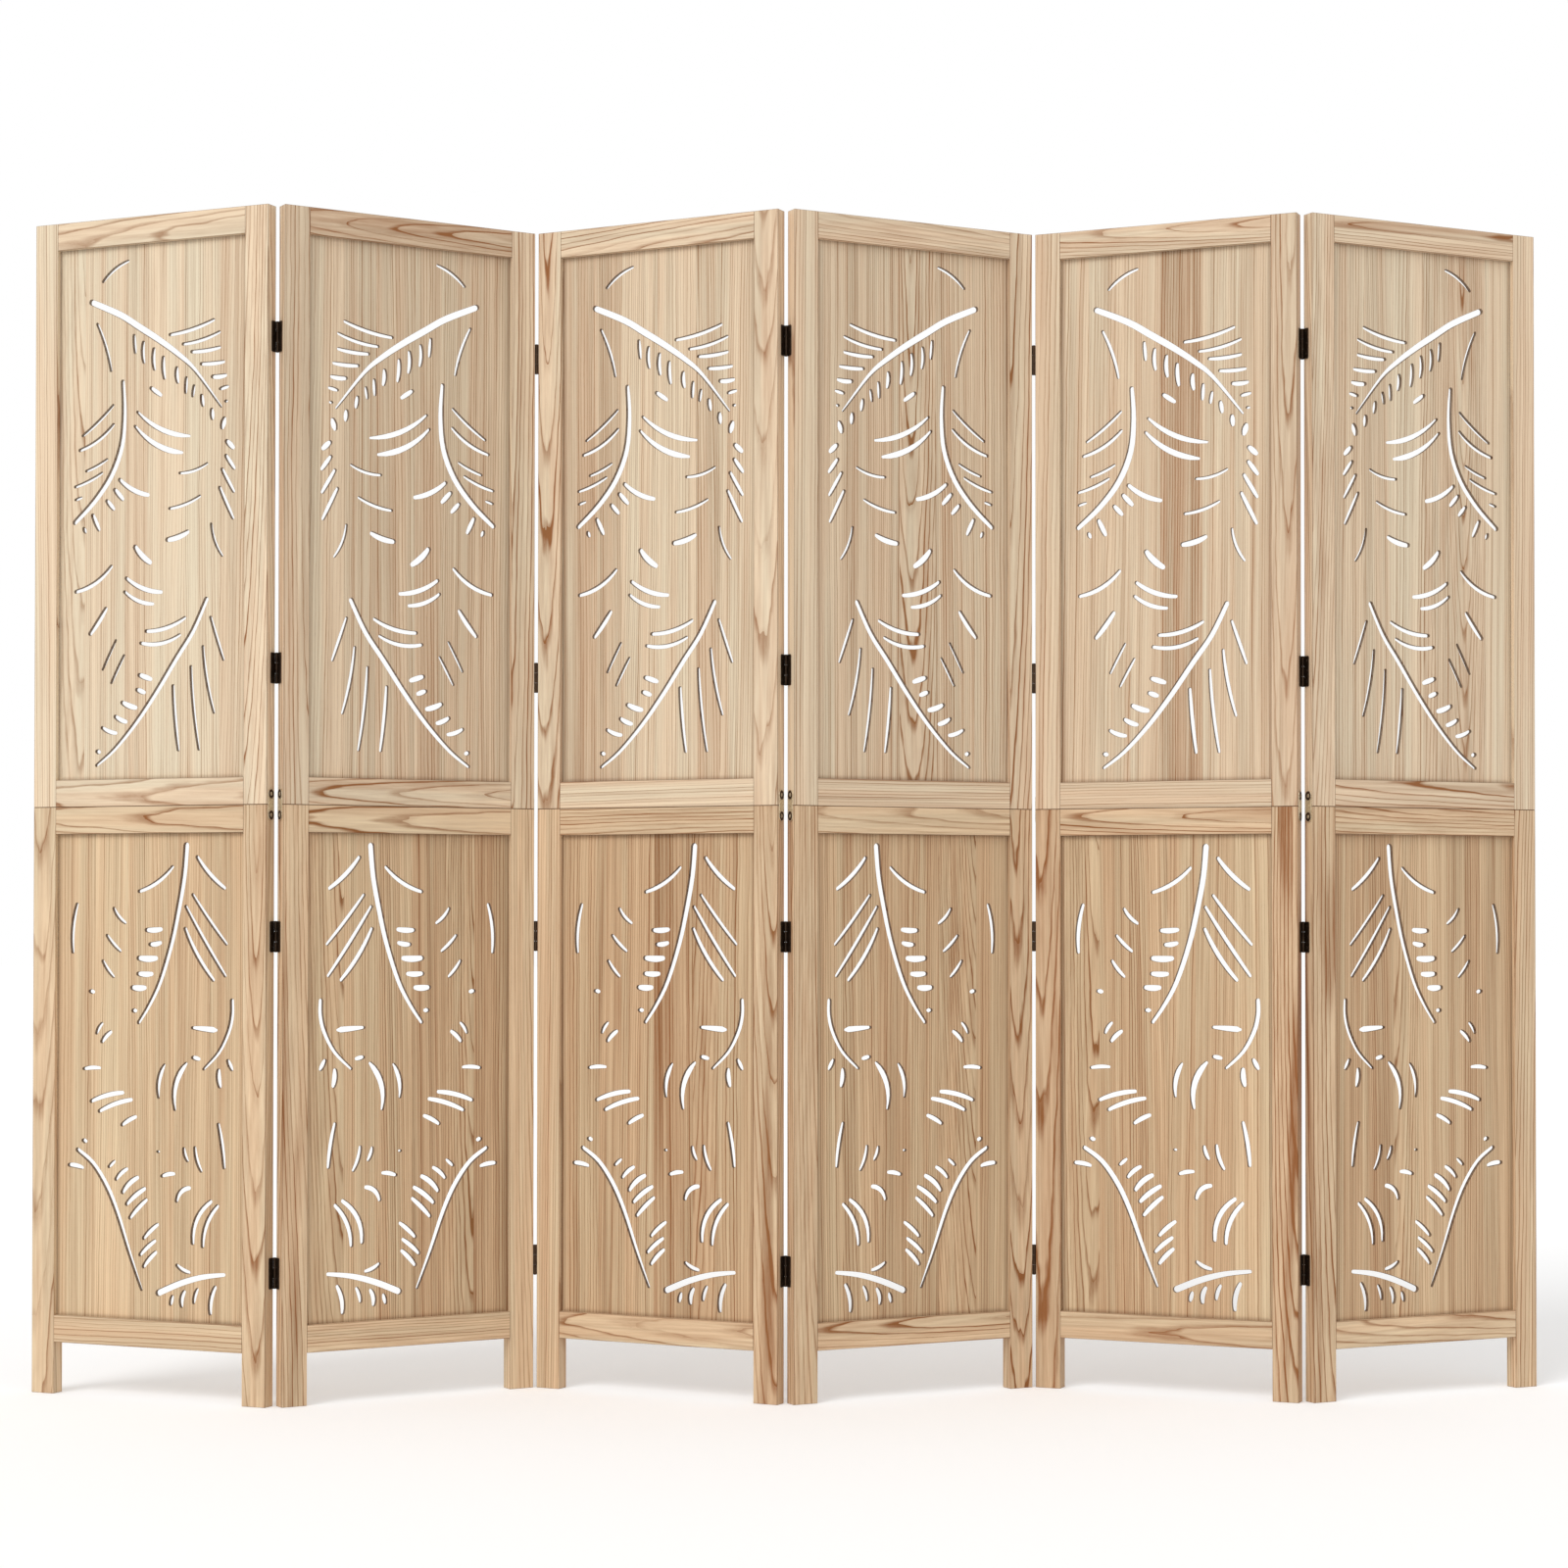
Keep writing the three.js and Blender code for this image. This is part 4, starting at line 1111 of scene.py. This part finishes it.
def repeated(piece_mesh, points, material, turn=0.0, seed=0):
    host = bpy.data.meshes.new("points")
    host.from_pydata(points, [], [])
    piece = helper("repeated_piece", piece_mesh)
    inputs = {"Piece": piece, "Turn": turn, "Seed": seed, "Material": material}
    mesh = grow(REPEATED, inputs, host)
    bpy.data.objects.remove(piece)
    return mesh


# %% [markdown]
# A screw here is only its head: a shallow dome with a cross recess, a little wider than the hole
# under it. It is made of rings of flat facets, filled in round a sunken cross.

# %% Screws
def screw_head(radius):
    form = bmesh.new()
    def ring(points, z):
        return [form.verts.new((x, y, z)) for x, y in points]
    def band(outer, inner):
        for index in range(len(outer)):
            after = (index + 1) % len(outer)
            form.faces.new((outer[index], outer[after], inner[after], inner[index]))
    cross = []
    arm, half = radius * 0.58, radius * 0.13
    for quarter in range(4):
        turn = Matrix.Rotation(math.radians(90 * quarter), 2)
        cross += [turn @ Vector(corner) for corner in ((arm, -half), (arm, half), (half, half))]
    profile = ((0.55, -0.0009), (1, 0.0), (0.9, 0.00018))  # share of the radius, and height
    shank, rim, top = (ring(circle((0, 0), radius * share, 16), z) for share, z in profile)
    band(shank, rim)
    band(rim, top)
    form.faces.new(shank[::-1])
    lip, sunk = ring(cross, 0.00024), ring(cross, -0.0004)
    band(lip, sunk)
    form.faces.new(sunk)
    edges = [form.edges.get((line[i - 1], line[i])) or form.edges.new((line[i - 1], line[i]))
             for line in (top, lip) for i in range(len(line))]
    bmesh.ops.triangle_fill(form, edges=edges, use_beauty=True)
    return finished(form, "screw_head")


SCREW = screw_head(0.0022)
check_closed(SCREW, "screw:")

# %% Hinges: on every edge
HINGE_MIDDLES = []
for number in range(1, 5):
    low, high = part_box(f"panel_2_hinge_leaf_{number}")
    HINGE_MIDDLES.append((low.z + high.z) / 2)


def edge_place(number, right_edge, knuckles_at_back, seat):
    """From a leaf's x, y, z to the screen, for one edge of one panel."""
    out = 1 if right_edge else -1
    inwards = -1 if knuckles_at_back else 1
    start = (WIDTH if right_edge else 0, THICKNESS if knuckles_at_back else 0, 0)
    turn = Matrix(((0, 0, out), (inwards, 0, 0), (0, 1, 0))).to_4x4()
    return PLACES[number] @ Matrix.Translation(start) @ turn @ Matrix.Translation((0, 0, seat + LEAF / 2))


def screw_points(seat):
    near = leaf_near_edge(seat)
    return [(near + x, middle + y, LEAF / 2) for middle in HINGE_MIDDLES for x, y in LEAF_HOLES]


FOUR_LEAVES = {
    kind: repeated(mesh, [(0, middle, 0) for middle in HINGE_MIDDLES], BLACK_STEEL)
    for kind, mesh in LEAVES.items()
}
for number in range(1, 6):
    at_back = number % 2 == 1
    fold = f"fold_{number}_{number + 1}"
    sides = (("screwed", number, True, 0), ("pinned", number + 1, False, SEAT_GAP))
    for kind, panel, right_edge, seat in sides:
        place, body = edge_place(panel, right_edge, at_back, seat), f"panel_{panel}"
        nodes = ([f"{body}_upper_frame", f"{body}_lower_frame"] if right_edge
                 else [f"{body}_hinge_leaf_{leaf}" for leaf in range(1, 5)])
        leaves, name = FOUR_LEAVES[kind].copy(), f"{fold}_{kind}"
        screws = repeated(SCREW.copy(), screw_points(seat), SCREW_STEEL, math.tau, 10 * number + right_edge)
        add_piece(f"{name}_leaves", leaves, place, body, "hinge_steel", BLACK_STEEL, *nodes)
        add_piece(f"{name}_screws", screws, place, body, "hinge_steel", SCREW_STEEL, *nodes)
    joint = next(joint for joint in frame["joints"] if joint["name"] == fold)
    axis = place @ Vector((-AXIS_OUT, joint["pos_m"][2], FOLD_GAP / 2 - SEAT_GAP - LEAF / 2))
    print(fold, "axis", [round(value, 4) for value in axis], "joint", joint["pos_m"])

# %% [markdown]
# ## Plates at the seam
# The upper frame stands on the lower one, and a small plate with round ends bridges the seam on
# each stile's outer edge. A screw in a dark cup washer holds each end of it. The plate is again a
# pierced sheet, in a dull zinc. The washer is a domed ring: its section is turned round the
# screw's axis by Spin, as a lathe would make it.

# %% Plates at the seam
PLATE_LENGTH, PLATE_WIDTH, PLATE = 0.045, 0.015, 0.0012
PLATE_HOLES = [(0, side * (PLATE_LENGTH - PLATE_WIDTH) / 2) for side in (-1, 1)]
CUP_RADIUS, CUP_BORE, CUP_RISE = 0.0066, 0.0029, 0.0005
SEAM = sum(HEIGHTS["upper"][:1] + HEIGHTS["lower"][1:]) / 2


def cup_washer():
    middle, half = (CUP_RADIUS + CUP_BORE) / 2, (CUP_RADIUS - CUP_BORE) / 2
    section = [(middle + half * x, CUP_RISE * z) for x, z in arc((0, 0), 1, 0, 180, 6)]
    section += [(CUP_BORE, -PLATE / 2), (CUP_RADIUS, -PLATE / 2)]
    form = bmesh.new()
    ring = [form.verts.new((x, 0, z)) for x, z in section]
    edges = [form.edges.new((ring[index - 1], ring[index])) for index in range(len(ring))]
    bmesh.ops.spin(form, geom=ring + edges, axis=(0, 0, 1), angle=math.tau, steps=24, use_merge=True)
    bmesh.ops.remove_doubles(form, verts=form.verts, dist=1e-7)
    return smoothed(finished(form, "cup_washer"))


bottom, top = PLATE_HOLES
holes = [circle(hole, CUP_BORE) for hole in PLATE_HOLES]
rim = arc(top, PLATE_WIDTH / 2, 0, 180, 12) + arc(bottom, PLATE_WIDTH / 2, 180, 360, 12)
SEAM_PLATE = pierced_sheet(rim, holes, PLATE, 0.0002, ZINC)
CUP_WASHER, PLATE_SCREW = cup_washer(), screw_head(CUP_BORE - 0.0002)
check_closed(SEAM_PLATE, "seam plate:")
check_closed(CUP_WASHER, "cup washer:")


def plate_place(number, right_edge):
    out = 1 if right_edge else -1
    start = (WIDTH if right_edge else 0, THICKNESS / 2, SEAM)
    turn = Matrix(((0, 0, out), (out, 0, 0), (0, 1, 0))).to_4x4()
    lift = Matrix.Translation((0, 0, SEAT_GAP + PLATE / 2))
    return PLACES[number] @ Matrix.Translation(start) @ turn @ lift


for number in PANELS:
    for side, right_edge in (("left", False), ("right", True)):
        place, body = plate_place(number, right_edge), f"panel_{number}"
        node, name = f"{body}_seam_plate_{side}", f"{body}_seam_{side}"
        points = [(x, y, PLATE / 2) for x, y in PLATE_HOLES]
        washers = repeated(CUP_WASHER.copy(), points, CUP_STEEL)
        screws = repeated(PLATE_SCREW.copy(), points, ZINC, math.tau, 100 + 2 * number + right_edge)
        add_piece(f"{name}_plate", SEAM_PLATE.copy(), place, body, "zinc_plate", ZINC, node)
        add_piece(f"{name}_washers", washers, place, body, "hinge_steel", CUP_STEEL, node)
        add_piece(f"{name}_screws", screws, place, body, "zinc_plate", ZINC, node)

# %% [markdown]
# ## Floor and light
# The screen stands on a white studio floor that runs on into a white background. The floor is a
# very large slab, almost white, and a little of its brightness is its own light, which only the
# camera and reflections see. So the floor turns white, yet keeps the soft shadow. The world is an
# even white dome, and one large soft sun from the front left makes the panels that face it
# brighter.

# %% Floor and light
FLOOR_REACH = 40
FLOOR_GLOW = 0.18
DOME = 0.70
SUN = 0.35
SUN_FROM = (-0.45, -0.60, 0.66)


def seen_directly(tree):
    """1 for the camera's rays, and for those that come by a reflection or through glass."""
    path = tree.nodes.new("ShaderNodeLightPath").outputs
    seen = maths(tree, "MAXIMUM", path["Is Camera Ray"], path["Is Glossy Ray"])
    return maths(tree, "MAXIMUM", seen, path["Is Transmission Ray"])


floor = helper("floor", block((-FLOOR_REACH, -FLOOR_REACH, -0.01), (FLOOR_REACH, FLOOR_REACH, 0)))
floor_material, tree, shader = new_material("white_floor")
shader.inputs["Base Color"].default_value = (0.92, 0.92, 0.92, 1)
shader.inputs["Roughness"].default_value = 0.9
shader.inputs["Specular IOR Level"].default_value = 0.0
shader.inputs["Emission Color"].default_value = (1, 1, 1, 1)
feed(tree, shader.inputs["Emission Strength"], maths(tree, "MULTIPLY", seen_directly(tree), FLOOR_GLOW))
floor.data.materials.append(floor_material)
floor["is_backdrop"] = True

world = bpy.data.worlds.new("white_dome")
bpy.context.scene.world = world
world.use_nodes = True
background = world.node_tree.nodes["Background"]
background.inputs["Color"].default_value = (1, 1, 1, 1)
strength = maths(world.node_tree, "MULTIPLY_ADD", seen_directly(world.node_tree), 1 - DOME, DOME)
feed(world.node_tree, background.inputs["Strength"], strength)

sun_data = bpy.data.lights.new("soft_sun", "SUN")
sun_data.energy = SUN * math.pi
sun_data.angle = math.radians(30)
sun = helper("soft_sun", sun_data)
sun.matrix_world = Vector(SUN_FROM).to_track_quat("Z", "Y").to_matrix().to_4x4()

bpy.context.scene.view_settings.view_transform = "Standard"
print("dome", DOME, "sun", SUN, "floor glow", FLOOR_GLOW)

# %% [markdown]
# ## Sizes, and the end
# The dressed screen is meant to keep the size of the CAD model. Both boxes are printed, so that
# they can be compared.

# %% Sizes, and the end
visual_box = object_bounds()
boxes = {"cad": cad_box, "visual": visual_box}
for name, (low, high) in boxes.items():
    print(name, [round(value, 4) for value in low], [round(value, 4) for value in high])
